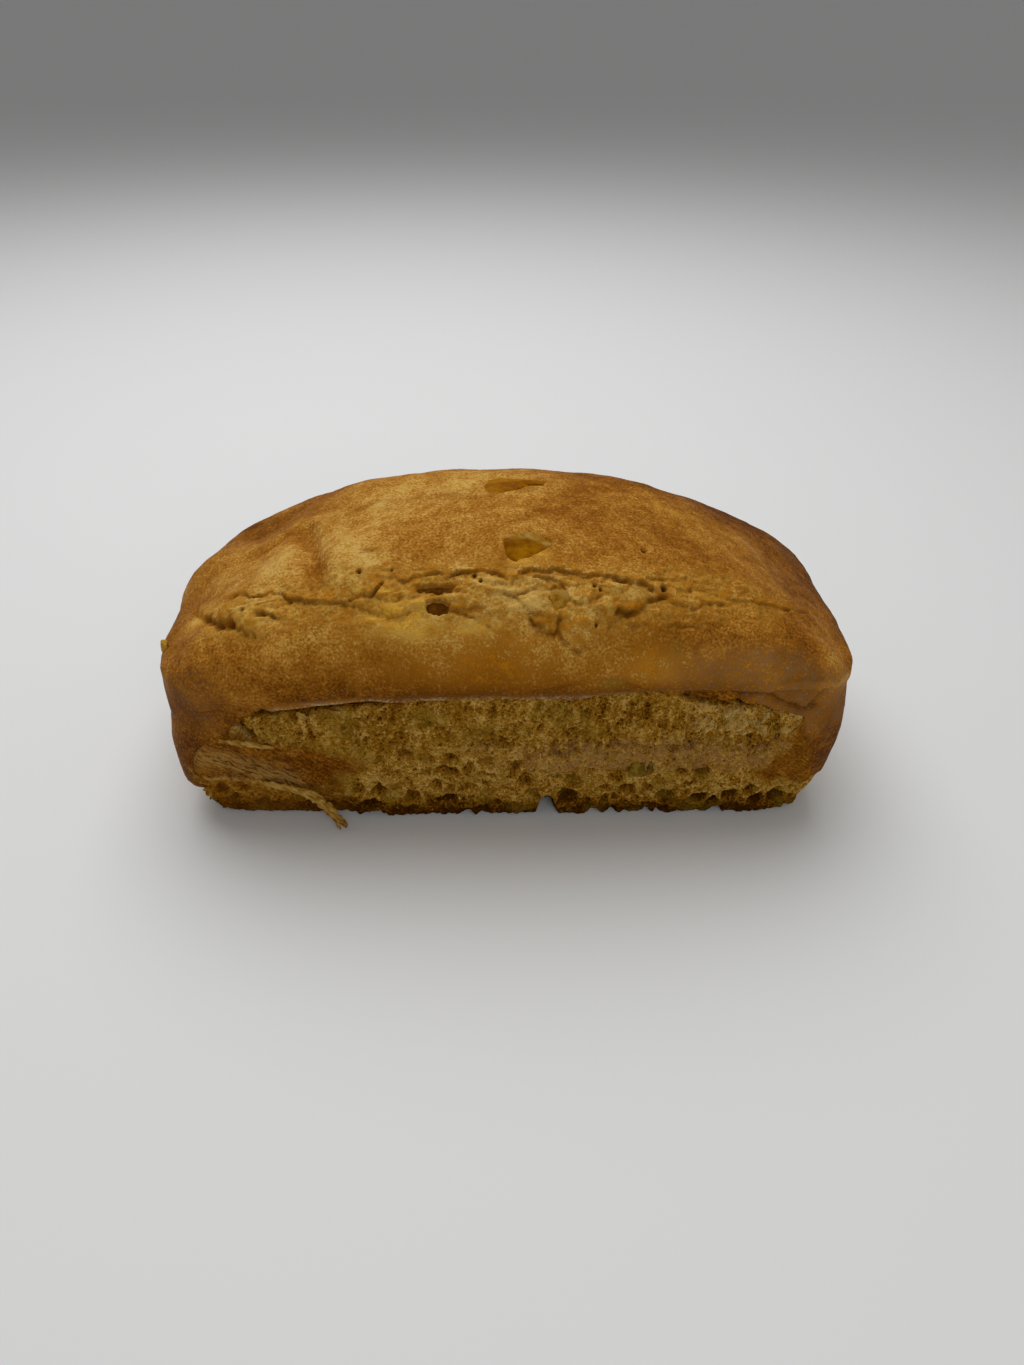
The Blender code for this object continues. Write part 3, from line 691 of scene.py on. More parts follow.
def store_shares(bm, shares):
    """Stores each share as a value of the points, which a finish reads by its name."""
    layers = [bm.verts.layers.float.new(name) for name in shares]
    for layer, values in zip(layers, shares.values()):
        for vert, value in zip(bm.verts, values.tolist()):
            vert[layer] = value


def finished_object(name, bm, material, nodes=()):
    """Turns a bmesh in mm into a piece that rides on the part."""
    bmesh.ops.transform(bm, matrix=TO_PART, verts=bm.verts)
    mesh = bpy.data.meshes.new(name)
    bm.to_mesh(mesh)
    bm.free()
    mesh.materials.append(material)
    mesh.shade_smooth()
    obj = bpy.data.objects.new(name, mesh)
    scene.collection.objects.link(obj)
    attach(obj, "root")
    if nodes:
        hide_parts(*nodes)
    print(name, len(mesh.vertices), "vertices", sum(len(p.vertices) - 2 for p in mesh.polygons), "triangles")
    return obj


# %% [markdown]
# ## Finishes
#
# Baked crust is not one brown. It is pale where the dough stayed thick or moist, golden on the
# dome, dark and a little glossy on the roll of the front and at the ends, where part of the dark is
# painted shade, and it is peppered with tiny light specks that are painted glints of sheen. Its
# creases and pinholes are darkened with painted shade. Open crumb is yellow-brown, pale on the torn
# edges and deep amber in the pores, where the dark is painted shade. All of that is worked out from
# noise in object space and from shares stored on the mesh, so it stays put from every side. Shader
# maths is easier to read as sums than as boxes and wires, so a small class wraps a socket and turns
# +, - and * into Math nodes.

# %% Sockets that can be added and multiplied
class Signal:
    """An output of a node in a finish."""

    def __init__(self, finish, socket):
        self.finish, self.socket = finish, socket

    def math(self, operation, first, second):
        return self.finish.add("ShaderNodeMath", {"operation": operation}, {0: first, 1: second})

    def __add__(self, other):
        return self.math("ADD", self, other)

    def __sub__(self, other):
        return self.math("SUBTRACT", self, other)

    def __rsub__(self, other):
        return self.math("SUBTRACT", other, self)

    def __mul__(self, other):
        return self.math("MULTIPLY", self, other)

    __radd__ = __add__
    __rmul__ = __mul__


class Finish:
    """A material under construction."""

    def __init__(self, name, **constants):
        self.material = bpy.data.materials.new(name)
        self.material.use_nodes = True
        self.tree = self.material.node_tree
        self.shader = self.tree.nodes["Principled BSDF"]
        self.place = self.add("ShaderNodeTexCoord", output="Object")
        self.surface(**constants)

    def add(self, kind, settings=None, inputs=None, output=0):
        node = self.tree.nodes.new(kind)
        for name, value in (settings or {}).items():
            if name == "stops":
                self.set_stops(node.color_ramp, value)
            else:
                setattr(node, name, value)
        for key, value in (inputs or {}).items():
            self.feed(node.inputs[key], value)
        return Signal(self, node.outputs[output])

    def feed(self, socket, value):
        if isinstance(value, Signal):
            self.tree.links.new(value.socket, socket)
        else:
            socket.default_value = value

    def surface(self, **values):
        for socket, value in values.items():
            self.feed(self.shader.inputs[socket.replace("_", " ")], value)
        return self.material

    @staticmethod
    def set_stops(ramp, stops):
        while len(ramp.elements) < len(stops):
            ramp.elements.new(1.0)
        for element, (place, colour) in zip(ramp.elements, stops):
            element.position = place
            element.color = (*colour, 1.0)

    def share(self, name):
        return self.add("ShaderNodeAttribute", {"attribute_name": name}, output="Fac")

    def noise(self, size_mm, detail=2.0, rough=0.5, place=None, output=0):
        inputs = {"Vector": place or self.place, "Scale": 1000.0 / size_mm}
        inputs.update({"Detail": detail, "Roughness": rough})
        return self.add("ShaderNodeTexNoise", inputs=inputs, output=output)

    def hairs(self, size_mm, turn, longer):
        """Noise drawn out in one direction of the front; turn is its slope in degrees."""
        along = self.add("ShaderNodeMapping", {"vector_type": "TEXTURE"},
                         {"Vector": self.place, "Rotation": (0.0, math.radians(-turn), 0.0),
                          "Scale": (longer, longer, 1.0)})
        return self.noise(size_mm, 2.0, 0.6, along)

    def bent_place(self, size_mm, reach_mm):
        """The place, bent by noise, so that pores aren't regular."""
        wave = self.noise(size_mm, 1.0, output="Color")
        wave = self.add("ShaderNodeVectorMath", {"operation": "SUBTRACT"}, {0: wave, 1: (0.5, 0.5, 0.5)})
        wave = self.add("ShaderNodeVectorMath", {"operation": "SCALE"}, {0: wave, "Scale": reach_mm * MM})
        return self.add("ShaderNodeVectorMath", {"operation": "ADD"}, {0: self.place, 1: wave})

    def pores(self, size_mm, place, feature="F1"):
        return self.add("ShaderNodeTexVoronoi", {"feature": feature},
                        {"Vector": place, "Scale": 1000.0 / size_mm}, output="Distance")

    def between(self, value, low, high):
        """0 under low, 1 over high, smooth between."""
        return self.add("ShaderNodeMapRange", {"interpolation_type": "SMOOTHSTEP"},
                        {"Value": value, "From Min": low, "From Max": high})

    def ramp(self, value, stops):
        return self.add("ShaderNodeValToRGB", {"stops": stops}, {0: value}, output="Color")

    def mix(self, factor, first, second):
        colours = [(*c, 1.0) if isinstance(c, tuple) else c for c in (first, second)]
        return self.add("ShaderNodeMix", {"data_type": "RGBA"},
                        {0: factor, 6: colours[0], 7: colours[1]}, output=2)

    def bump(self, height, distance_mm, strength):
        return self.add("ShaderNodeBump", inputs={"Height": height, "Distance": distance_mm * MM,
                                                  "Strength": strength})


# %% [markdown]
# The crumb's colour is needed twice: on the torn side, and on the torn foot that belongs to the crust's
# mesh. So it is one function of a finish, driven by how deep a point lies in a pore, which darkens it
# as painted shade.

# %% Colours of the crumb
CRUMB_STOPS = (
    (0.0, (0.62, 0.37, 0.085)), (0.3, (0.40, 0.190, 0.018)), (0.65, (0.24, 0.094, 0.005)),
    (1.0, (0.070, 0.021, 0.001)),
)
OLIVE, MAUVE, FIBRE_PALE = (0.30, 0.175, 0.016), (0.40, 0.205, 0.062), (0.62, 0.395, 0.115)


def crumb_colour(finish, cavity):
    """Colour of open crumb, and its relief."""
    mottle, grain = finish.noise(5.0, 3.0), finish.noise(0.8, 2.0, 0.6)
    bent = finish.bent_place(2.0, 1.6)
    pits = 1.0 - finish.between(finish.pores(1.05, bent), 0.12, 0.40)
    walls = 1.0 - finish.between(finish.pores(1.5, bent, "DISTANCE_TO_EDGE"), 0.02, 0.16)
    # Deep points and small pits are darker as painted shade; the walls of the pores are paler.
    tone = cavity * 0.75 + (mottle - 0.5) * 0.9 + (grain - 0.5) * 1.3 + pits * 0.35 + 0.24
    colour = finish.ramp(tone - walls * 0.22, CRUMB_STOPS)
    olive = finish.between(finish.noise(9.0, 1.0), 0.5, 0.7) * 0.4
    return finish.mix(olive, colour, OLIVE), grain * 0.8 + walls * 0.5 - pits * 0.5


# %% Finish of the crust
CRUST_STOPS = (
    (0.0, (0.66, 0.40, 0.100)), (0.16, (0.575, 0.315, 0.060)), (0.35, (0.45, 0.195, 0.024)),
    (0.57, (0.315, 0.112, 0.008)), (0.8, (0.195, 0.062, 0.003)), (1.0, (0.105, 0.030, 0.002)),
)
DOUGH_STOPS = ((0.38, (0.58, 0.34, 0.060)), (0.50, (0.46, 0.230, 0.030)), (0.60, (0.40, 0.165, 0.018)))
# The first three colours here are painted shade: streaks along valleys and creases, the inside of creases,
# and the inside of pinholes.
SHADE_STREAK, CREASE_SHADE, PINHOLE_SHADE = (0.215, 0.062, 0.002), (0.135, 0.045, 0.004), (0.05, 0.018, 0.004)
LEMON, LEMON_DEEP = (0.86, 0.48, 0.055), (0.60, 0.29, 0.026)
AMBER, AMBER_DEEP = (0.51, 0.195, 0.008), (0.235, 0.070, 0.0015)
GREENISH, SHEEN_SPECK, RIM_PALE = (0.24, 0.17, 0.025), (0.55, 0.33, 0.11), (0.56, 0.36, 0.16)
CRUST_SHEEN = (1.0, 0.7, 0.4, 1.0)


def crust_colour(finish, bake):
    """Colour of baked skin, and the noise that it is made of: fine, soft and broad."""
    fine, soft = finish.noise(0.65, 2.0, 0.6), finish.noise(3.2, 3.0, 0.6)
    broad = finish.noise(13.0, 3.0, 0.55)
    tone = bake + (broad - 0.5) * 0.70 + (soft - 0.5) * 0.6 + (fine - 0.5) * 1.2
    colour = finish.ramp(tone, CRUST_STOPS)
    # Painted sheen: tiny light specks laid over the crust's colour as glints.
    glints = finish.between(finish.noise(0.8, 1.0), 0.60, 0.74) * 0.24
    return finish.mix(glints, colour, SHEEN_SPECK), fine, soft, broad


def crust_finish():
    finish = Finish("baked_crust", Specular_IOR_Level=0.03, Specular_Tint=CRUST_SHEEN)
    colour, fine, soft, broad = crust_colour(finish, finish.share("bake"))
    grain = fine + soft * 0.7
    speckle = fine + (soft - 0.5) * 0.6
    crumb, _ = crumb_colour(finish, finish.share("pore"))
    layers = (
        # share of the layer, colour
        (finish.share("crag") * finish.between(soft + broad, 0.80, 1.15) * 0.7,
         finish.ramp(finish.noise(1.6, 3.0, 0.6), DOUGH_STOPS)),
        (finish.share("lemon") * finish.between(soft + fine, 0.50, 1.0),
         finish.mix(finish.between(grain, 0.74, 0.96), LEMON_DEEP, LEMON)),
        (finish.share("amber") * finish.between(broad + soft + fine, 1.15, 1.75),
         finish.mix(finish.between(grain, 0.62, 1.06), AMBER_DEEP, AMBER)),
        (finish.share("green"), GREENISH),
        # Painted shade along the valleys and creases.
        (finish.share("stain") * finish.between(soft, 0.25, 0.6), SHADE_STREAK),
        (finish.share("edge") * finish.between(speckle, 0.36, 0.72), RIM_PALE),
        # Painted shade laid into the creases.
        (finish.share("seam") * 0.85, CREASE_SHADE),
        # Painted shade in the pinholes.
        (finish.share("hole"), PINHOLE_SHADE),
        (finish.share("foot"), crumb),
    )
    for share, layer in layers:
        colour = finish.mix(share, colour, layer)
    rough = finish.between(broad, 0.2, 0.8) * 0.14 + 0.50 + finish.share("foot") * 0.25
    normal = finish.bump(fine * 0.6 + soft * 0.9, 0.8, 0.9)
    return finish.surface(Base_Color=colour, Roughness=rough, Normal=normal)


# %% Finish of the crumb
SKIN_BAKE = 0.78


def crumb_finish():
    finish = Finish("open_crumb", Roughness=0.8, Specular_IOR_Level=0.0)
    colour, relief = crumb_colour(finish, finish.share("pore"))
    skinny, fibrous = finish.share("skin"), finish.share("fibre")
    down, up = finish.hairs(0.45, -38.0, 7.0), finish.hairs(0.45, 48.0, 6.0)
    streak = down * skinny + up * (1.0 - skinny)
    upright = finish.hairs(0.7, 90.0, 5.0)
    band = finish.share("band") * finish.between(upright + finish.noise(3.0), 0.75, 1.15)
    colour = finish.mix(band * 0.75, colour, MAUVE)
    skin, fine, _, _ = crust_colour(finish, SKIN_BAKE - (streak - 0.5) * 0.9)
    colour = finish.mix(skinny, colour, skin)
    colour = finish.mix(fibrous * finish.between(streak, 0.34, 0.56), colour, FIBRE_PALE)
    relief = relief * (1.0 - skinny) + streak * (skinny + fibrous) * 0.8 + fine * skinny * 0.4
    return finish.surface(Base_Color=colour, Normal=finish.bump(relief, 0.6, 0.9))


crust_material, crumb_material = crust_finish(), crumb_finish()
print("finishes:", crust_material.name, crumb_material.name)

# %% [markdown]
# ## Browning and painted shade
#
# How brown the crust is follows the oven's heat and the dough: the roll over the lip and the ends
# sat closest to the hot tin, the right half rose thinner, and thick or folded dough stayed pale.
# Painted shade and light are added to the same shares: the roll is darker where it faces forward,
# the top of the right half is darker still, the right end has a painted highlight above and shade
# below, and on the top the hollows are darker and the lumps paler. Each of those is a soft share
# added up at every point of the mesh.

# %% Shares of the crust
# A patch is its place (x, y), half lengths and amount.
PALE = (
    (-77, -16, 5, 4, 0.38), (-55, -12, 6, 9, 0.16), (-35, -22, 7, 6, 0.20), (-23, -36.6, 6.5, 1.7, 0.46),
    (-7, -36.8, 5, 1.4, 0.30), (-8, -20, 12, 5, 0.08), (-8, 16, 26, 10, 0.14), (-60, -28, 6, 4, 0.30),
    (-28, 0, 20, 10, 0.12), (3, -30, 10, 3, 0.14), (50, 8, 22, 8, 0.08), (74, -22, 8, 8, 0.14),
    (10, -34, 20, 4, 0.14), (30, -31, 6, 2.5, 0.2),
)
LEMON_PATCHES = (
    (-27.6, -34.7, 4.6, 0.9, 1.0), (-20.5, -34.6, 3.0, 0.8, 1.0), (-60, -29, 4, 3, 0.3),
    (-77, -17, 4, 3, 0.3), (-22.5, -36.9, 6, 1.3, 0.9), (-7, -37.0, 4, 1.0, 0.6),
    (-22, -33.0, 7, 0.7, 0.5), (48, -28.4, 8, 1.2, 0.4), (4, -24.9, 2.4, 0.8, 0.9),
    (8.4, -22.8, 2.2, 0.8, 0.7), (12.2, -35.3, 1.2, 1.0, 0.9), (41.3, 8.6, 1.2, 1.6, 0.45),
    (45.5, 7.0, 3, 0.9, 0.45), (52, 9.4, 3, 0.9, 0.35), (-28.4, -30.6, 3.0, 0.6, 0.7),
)
AMBER_PATCHES = (
    (34, -39.8, 5.5, 2.6, 0.5), (15.5, -37.3, 3.2, 1.2, 0.9), (9.8, -36.3, 3.2, 0.8, 0.6),
    (6, -22, 9, 6, 0.3), (-2, -40, 12, 2.5, 0.4), (-28.0, -35.7, 4.0, 0.5, 0.5),
    (-20.6, -35.3, 2.2, 0.4, 0.5), (-9.7, -33.8, 4.0, 0.9, 0.8), (-17, -37.1, 1.6, 0.7, 0.8),
    (-28, -36.8, 2.0, 1.2, 0.4), (-36, -37, 3, 2, 0.3),
)
# Painted shade: dark streaks along the valleys, the creases and the broad bumps of the top.
SHADE_STREAKS = (
    (-45.6, -20, 1.6, 5.0, 0.5), (-47.2, -12, 1.8, 5.0, 0.6), (-49.4, -4.5, 1.6, 4.0, 0.45),
    (6.4, 7.4, 9.0, 1.6, 0.5), (9.6, -5.2, 3.6, 1.4, 0.8), (24.1, 12.7, 7.0, 2.2, 0.7),
    (11.8, -3.2, 2.6, 1.2, 0.9), (-56.8, 7.6, 2.6, 1.4, 0.8), (-52.0, 3.4, 1.6, 3.0, 0.6),
    (22.3, 9.6, 4.5, 1.6, 0.6), (-35.5, 6.0, 5.0, 1.5, 0.5), (4.4, -10.2, 3.6, 1.4, 0.6),
    (13.2, -18.5, 1.4, 3.0, 0.6), (-0.6, -23.4, 1.0, 2.4, 0.5), (-20, 2, 10, 3, 0.15),
    (-16.4, -29.0, 5.0, 0.5, 0.5), (-32, -18.4, 2.4, 0.9, 0.5), (-14, 4, 12, 2.5, 0.25),
    (-4, 3, 6, 1.6, 0.25),
)
# A patch of the front is drawn in (x, z).
WALL_AMBER = ((35, 53.0, 6.5, 4.0, 0.65), (21, 50.5, 9, 2.0, 0.5), (-6, 54, 24, 6.0, 0.6))
WALL_PALE = ((36, 53, 7, 4, 0.36), (60, 52, 14, 6, 0.10), (-2, 55, 18, 5, -0.14))
WALL_GREEN = ((25.5, 50.2, 3.0, 1.4, 0.5), (40, 58, 2.0, 2.5, 0.25))
BAKE = 0.385        # 0 is pale dough and 1 nearly black


def browning_and_shade(points, top, front, relief, crag):
    """How brown the crust is, with painted shade and light added; top and front are the shares that face
    that way.
    """
    x, y, z = points.T
    right_end = smooth_step(x, 80.0, 86.0) * smooth_step(y, -30.0, 0.0) * smooth_step(z, 18.0, 44.0)
    right_corner = smooth_step(x, 74.0, 84.0) * fade(y, -34.0, 0.0)
    low_left = smooth_step(-x, 52.0, 66.0) * fade(z, 36.0, 46.0)
    middle_roll = front * fade(z, 45.0, 55.0) * plateau(x, -55.0, -20.0, 55.0, 75.0)
    # The top of the right half is darker: partly browning, partly painted shade.
    bake = BAKE + 0.20 * smooth_step(x, 0.0, 30.0) * top
    # Painted shade on the right end, below its bright corner.
    bake += 0.12 * right_end * (1.0 - top) + 0.13 * low_left
    bake += 0.07 * smooth_step(-x, 55.0, 85.0) + 0.04 * smooth_step(x, 60.0, 78.0)
    # Painted highlight on the upper right corner, and painted shade below it.
    bake += right_corner * (0.18 - 0.54 * smooth_step(z, 35.0, 45.0))
    # The roll over the lip is darker, more so where it faces forward: partly browning, partly painted shade.
    bake += 0.26 * fade(z, 46.0, 60.0) * (0.4 + 0.6 * front) + 0.26 * middle_roll
    # On the top, hollows are darker and lumps paler: painted shade and painted light.
    bake += 0.20 * smooth_step(y, 8.0, 30.0) - 0.09 * np.clip(relief, -1.5, 1.5) * top
    return bake - patches(x, y, PALE) * smooth_step(z, 46.0, 52.0) - 0.10 * crag


def pale_edge(points, front):
    """Torn edge of the lip, and a paler haze on the front of both corners."""
    x, y, z = points.T
    edge = bell(z - lip_level(x) - 0.3, 1.3) * smooth_step(-y, 38.0, 39.0)
    edge *= torn_share(x, z, 6.0) * (1.2 - 0.6 * smooth_step(x, -10.0, 30.0))
    paler_corners = 0.28 * smooth_step(x, 30.0, 50.0) + 0.12 * smooth_step(-x, 62.0, 76.0)
    return np.maximum(edge, paler_corners * front * plateau(z, 26.0, 38.0, 54.0, 60.0))


def crust_shares(points, normals, relief, marks, foot, open_pores):
    """All that the finish of the crust reads; marks are the shares that the relief left."""
    x, y, z = points.T
    top = smooth_step(normals[:, 2], 0.1, 0.6)
    front = smooth_step(-normals[:, 1], 0.3, 0.8) * (1.0 - foot)
    in_front, upper = smooth_step(-y, 36.0, 39.0), smooth_step(z, 48.0, 52.0)
    crag = marks["crag"]
    amber = patches(x, y, AMBER_PATCHES) * upper + patches(x, z, WALL_AMBER) * in_front
    amber += 0.95 * marks["rust"] + 0.5 * crag * smooth_step(fractal(points, 4.0, 26, 2), 0.05, 0.4)
    bake = browning_and_shade(points, top, front, relief, crag) - patches(x, z, WALL_PALE) * in_front
    return {"bake": bake, "lemon": patches(x, y, LEMON_PATCHES) * upper, "amber": amber,
            "stain": patches(x, y, SHADE_STREAKS) * upper, "green": patches(x, z, WALL_GREEN) * in_front,
            "seam": marks["seam"], "hole": marks["hole"], "crag": crag,
            "edge": pale_edge(points, front), "foot": foot, "pore": foot * open_pores}


# %% Build the crust
LOWEST = 0.15        # all but the flat base stays over this


def build_crust():
    bm = gridded_cube(CRUST_CELLS)
    for zone in (near_fold, on_fold, near_tear_end, on_crack):
        halve_quads(bm, zone)
    u, v, w = coordinates(bm)
    form = crust_form(u, v, w)
    move_points(bm, form)
    normals = point_normals(bm)
    on_wall = (v < -ON_FACE) & (row_of(w) < WALL_ROWS + 0.25)
    lost = torn_share(form[:, 0], form[:, 2]) * on_wall
    relief, marks = crust_relief(form)
    foot = foot_share(form) * (1.0 - lost)
    sunk, open_pores = foot_relief(form, foot)
    places = form + normals * ((1.0 - lost) * relief + sunk)[:, None]
    at_base = form[:, 2] < 1e-6
    places[:, 2] = np.where(at_base, 0.0, np.maximum(places[:, 2], LOWEST))
    move_points(bm, places)
    store_shares(bm, crust_shares(places, normals, relief, marks, foot, open_pores))
    bm.normal_update()
    base = [face for face in bm.faces if all(vert.co.z < 1e-6 for vert in face.verts)]
    bmesh.ops.dissolve_faces(bm, faces=base, use_verts=True)
    return finished_object("crust", bm, crust_material, ["loaf"])


crust = build_crust()
crust_surface = BVHTree.FromObject(crust, bpy.context.evaluated_depsgraph_get())

# %% [markdown]
# ## The open crumb
#
# Where the side tore, the loaf shows its inside: long fine fibres under the lip, a smoother band
# below them, and near the bottom a foam of pores with thin torn walls. It lies in the opening of
# the crust as a slab of its own, with its border tucked behind the crust's torn edge, so the edge
# casts a real shadow. Pores are the space between the nearest and the second nearest of scattered
# points, which gives round hollows with sharp walls, as foam has.

# %% The face of the slab
TUCK, TUCK_DEPTH, SLAB_BACK = 4.5, 5.0, -24.0
TOP_OVERLAP = 1.045
CRUMB_CELLS = (430, 112)
TABLE_STEPS = 401


def face_points(across, level):
    """Place on the torn face; across runs from its left end (-1) to its right end (1)."""
    left, right = tear_ends(level * LIP_LEFT)
    x = left - TUCK + (right - left + 2.0 * TUCK) * (across + 1.0) * 0.5
    table = np.linspace(-1.0, 1.0, TABLE_STEPS)
    u = np.empty_like(x)
    for row in np.unique(level):
        same = level == row
        reach = wall_points(table, -np.ones_like(table), np.full_like(table, row), torn=1.0)[0]
        u[same] = np.interp(x[same], reach, table)
    return wall_points(u, -np.ones_like(u), level, torn=1.0).T


# %% Foam, band and fibres
def pores(points, size, seed, low=0.06, high=0.5):
    """0 on the walls of a foam and 1 in its pores."""
    return smooth_step(cell_gap(points, size, seed), low, high)


def crumb_zones(points):
    """Two wandering lines of noise, and the shares of the fibres and of the band that they bound."""
    x, _, z = points.T
    wander = 1.6 * fractal(points, 12.0, 31, 2) + 0.9 * fractal(points, 3.0, 32, 2)
    scallop = 1.8 * fractal(points * (1, 0, 0), 5.5, 48, 2) + 0.7 * wander
    fibres = smooth_step(z, 22.0 + wander, 25.5 + wander)
    band = smooth_step(x + 6 * wander, -6.0, 18.0)
    band *= plateau(z, 16.6 + scallop, 18.6 + scallop, 25.0 + 2.0 * wander, 29.5 + 2.0 * wander)
    return wander, scallop, fibres, band


def crumb_texture(points, wander, fibres, band):
    """Height of the crumb, and how deep its colour is, with painted shade in the pores and near the foot."""
    z = points[:, 2]
    foam = (1.0 - fibres) * (1.0 - 0.75 * band)
    bottom = fade(z, 1.5, 9.0 + wander)
    warped = points + 0.8 * np.array((wander, wander, -wander)).T
    wide, middle = pores(warped, 5.2, 33, 0.03, 0.62), pores(warped, 2.5, 34)
    fine = pores(points, 1.25, 35, 0.05, 0.6)
    big = smooth_step(fractal(points, 7.0, 36, 2), -0.45, 0.25)
    open_share = smooth_step(fractal(points, 6.0, 39, 2), -0.3, 0.4)
    fibre, tuft = fractal(points, (1.3, 1.3, 5.0), 37), fractal(points, (2.2, 2.2, 3.2), 38)
    large = wide * (0.4 + 0.6 * big)

    height = 0.8 * fractal(points, 13.0, 40, 2) + 0.3 * fibres
    height += foam * (0.9 - 2.4 * large - 0.8 * middle * (1.1 - 0.6 * big) - 0.3 * fine + 0.3 * tuft)
    height += bottom * (0.9 - 1.3 * wide * smooth_step(z, 0.0, 3.0))
    height += fibres * (0.40 * fibre + 0.45 * tuft - 0.65 * fine * (0.4 + 0.6 * open_share))
    height += band * (0.6 - 0.35 * fine + 0.3 * tuft) - 0.7 * fibres * middle * open_share
    # Painted shade: the tone is darker deep in the pores and towards the foot of the crumb.
    tone = foam * (0.85 * large + 0.25 * middle + 0.10 * fine - 0.05) + bottom * (1.15 + 0.5 * wide)
    tone += fibres * (0.20 - 0.34 * fibre - 0.25 * tuft + open_share * (0.3 * fine + 0.25 * middle))
    tone += band * (0.02 + 0.30 * fine + 0.25 * middle * open_share)
    return height, tone


# %% [markdown]
# At the left a flap of skin still covers the crumb, with a curled lower edge and pale fibres. At
# the right the crumb runs into flakes that climb to the lip, and both gaps under the lip are
# darkened with painted shade.

# %% Skins, flakes and gaps
# A line that runs up the side is drawn as height and x, every other one as x and height.
SKIN_EDGE = (
    (-84, 17.0), (-78, 16.5), (-71, 15.0), (-63, 15.0), (-55, 14.0), (-49, 13.2), (-43, 15.0), (-37, 17.5),
    (-31, 20.0),
)
SKIN_END = (
    (10.0, -44), (15.0, -38), (19.0, -33), (23.0, -33), (26.0, -42), (28.5, -56), (33.0, -66), (38.0, -70),
)
RIGHT_SKIN = ((14, 68), (22, 72), (27, 74), (31, 75.5), (36, 76.5))
LEFT_GAP = ((-62, 37.2), (-57, 38.2), (-50, 39.2), (-43, 40.0), (-34, 41.2), (-20, 42.4))
RIGHT_GAP = ((44, 42.6), (51, 41.0), (55, 39.9), (57.3, 40.9), (59.8, 39.0), (64.3, 39.0), (70, 37.4))
SLIT, PIT, PIT_REACH = ((-67.5, 36.8), (-65.5, 34.8), (-62.3, 30.6)), (62.6, 29.4), (1.2, 0.8)
GAP_WIDTH, GAP_DEPTH = 0.6, 2.4
SKIN_SLOPE, FLAKE_SLOPE = -38.0, 48.0        # degrees


def slanted(x, z, turn):
    """Places turned in the front's plane, so that x runs along fibres that climb by turn degrees."""
    c, d = math.cos(math.radians(turn)), math.sin(math.radians(turn))
    return np.array((c * x + d * z, np.zeros_like(x), c * z - d * x)).T


def left_skin(points):
    """Shares of the flap, of the crumb right under it, of its curled edge and of its fibres."""
    x, _, z = points.T
    edge = along_line(x, SKIN_EDGE) + 0.8 * fractal(points, 2.5, 42, 2)
    end = along_line(z, SKIN_END) + 3.0 * fractal(points, 4.0, 43, 2)
    skin = smooth_step(z, edge - 0.5, edge + 0.5) * fade(x, end - 9.0, end + 2.0)
    under = fade(z, edge - 1.0, edge) * fade(x, -44.0, -38.0)
    fibrous = bell(z - 19.0 + 0.42 * (x + 62.0), 4.2) * smooth_step(-x, 49.0, 56.0)
    return skin, under, bell(z - edge - 0.9, 0.9) * skin, fibrous * skin


def right_skins(points, scallop):
    """Shares of the skin at the right end and of the skin over the gap under the lip."""
    x, _, z = points.T
    start = along_line(z, RIGHT_SKIN) + 1.5 * fractal(points, 3.0, 52, 2)
    end_skin = smooth_step(x, start - 4.0, start + 1.0)
    end_skin *= plateau(z, 11.0 + scallop, 14.0 + scallop, 34.0, 37.0)
    over_gap = z - along_line(x, RIGHT_GAP)
    return end_skin, smooth_step(over_gap, 0.1, 0.7) * smooth_step(x, 36.0, 44.0)


def flake_shares(points, covered):
    """Share of the flaky part, and of the flakes in it."""
    x, _, z = points.T
    flaky = smooth_step(x, 44.0, 52.0) * smooth_step(z, 27.0, 33.0) * (1.0 - covered)
    layers = fractal(slanted(x, z, FLAKE_SLOPE), (9.0, 6.0, 2.0), 47, 2)
    return flaky, fade(np.abs(layers), 0.03, 0.30) * smooth_step(fractal(points, 3.6, 49, 2), -0.4, 0.1)


def notch_share(points):
    """1 in the notch at the foot of the torn side."""
    x, _, z = points.T
    half_width = NOTCH_WIDTH * (0.75 - 0.35 * smooth_step(z, 0.0, NOTCH_HEIGHT))
    half_width += 0.4 * fractal(points, 2.0, 51, 2)
    return bell(x - NOTCH_X, half_width, 4) * fade(z, NOTCH_HEIGHT - 3.0, NOTCH_HEIGHT + 1.0)


def gap_share(points):
    """1 in the gaps under the lip, in the slit and in the pit."""
    x, _, z = points.T
    away, _ = side_of_line(x, z + 0.3 * fractal(points, 2.0, 45, 2), RIGHT_GAP)
    right = bell(away, GAP_WIDTH) * (1.0 - 0.7 * smooth_step(x, 59.0, 63.0))
    low = along_line(x, LEFT_GAP) + 0.25 * fractal(points, 2.5, 46, 2)
    left = smooth_step(z, low - 0.9, low) * plateau(x, -62.5, -60.0, -30.0, -18.0)
    slit = 1.3 * bell(side_of_line(x, z, SLIT)[0], GAP_WIDTH)
    pit = bell(np.hypot((x - PIT[0]) / PIT_REACH[0], (z - PIT[1]) / PIT_REACH[1]), 1.0)
    return np.max((right, left, slit, pit), axis=0)


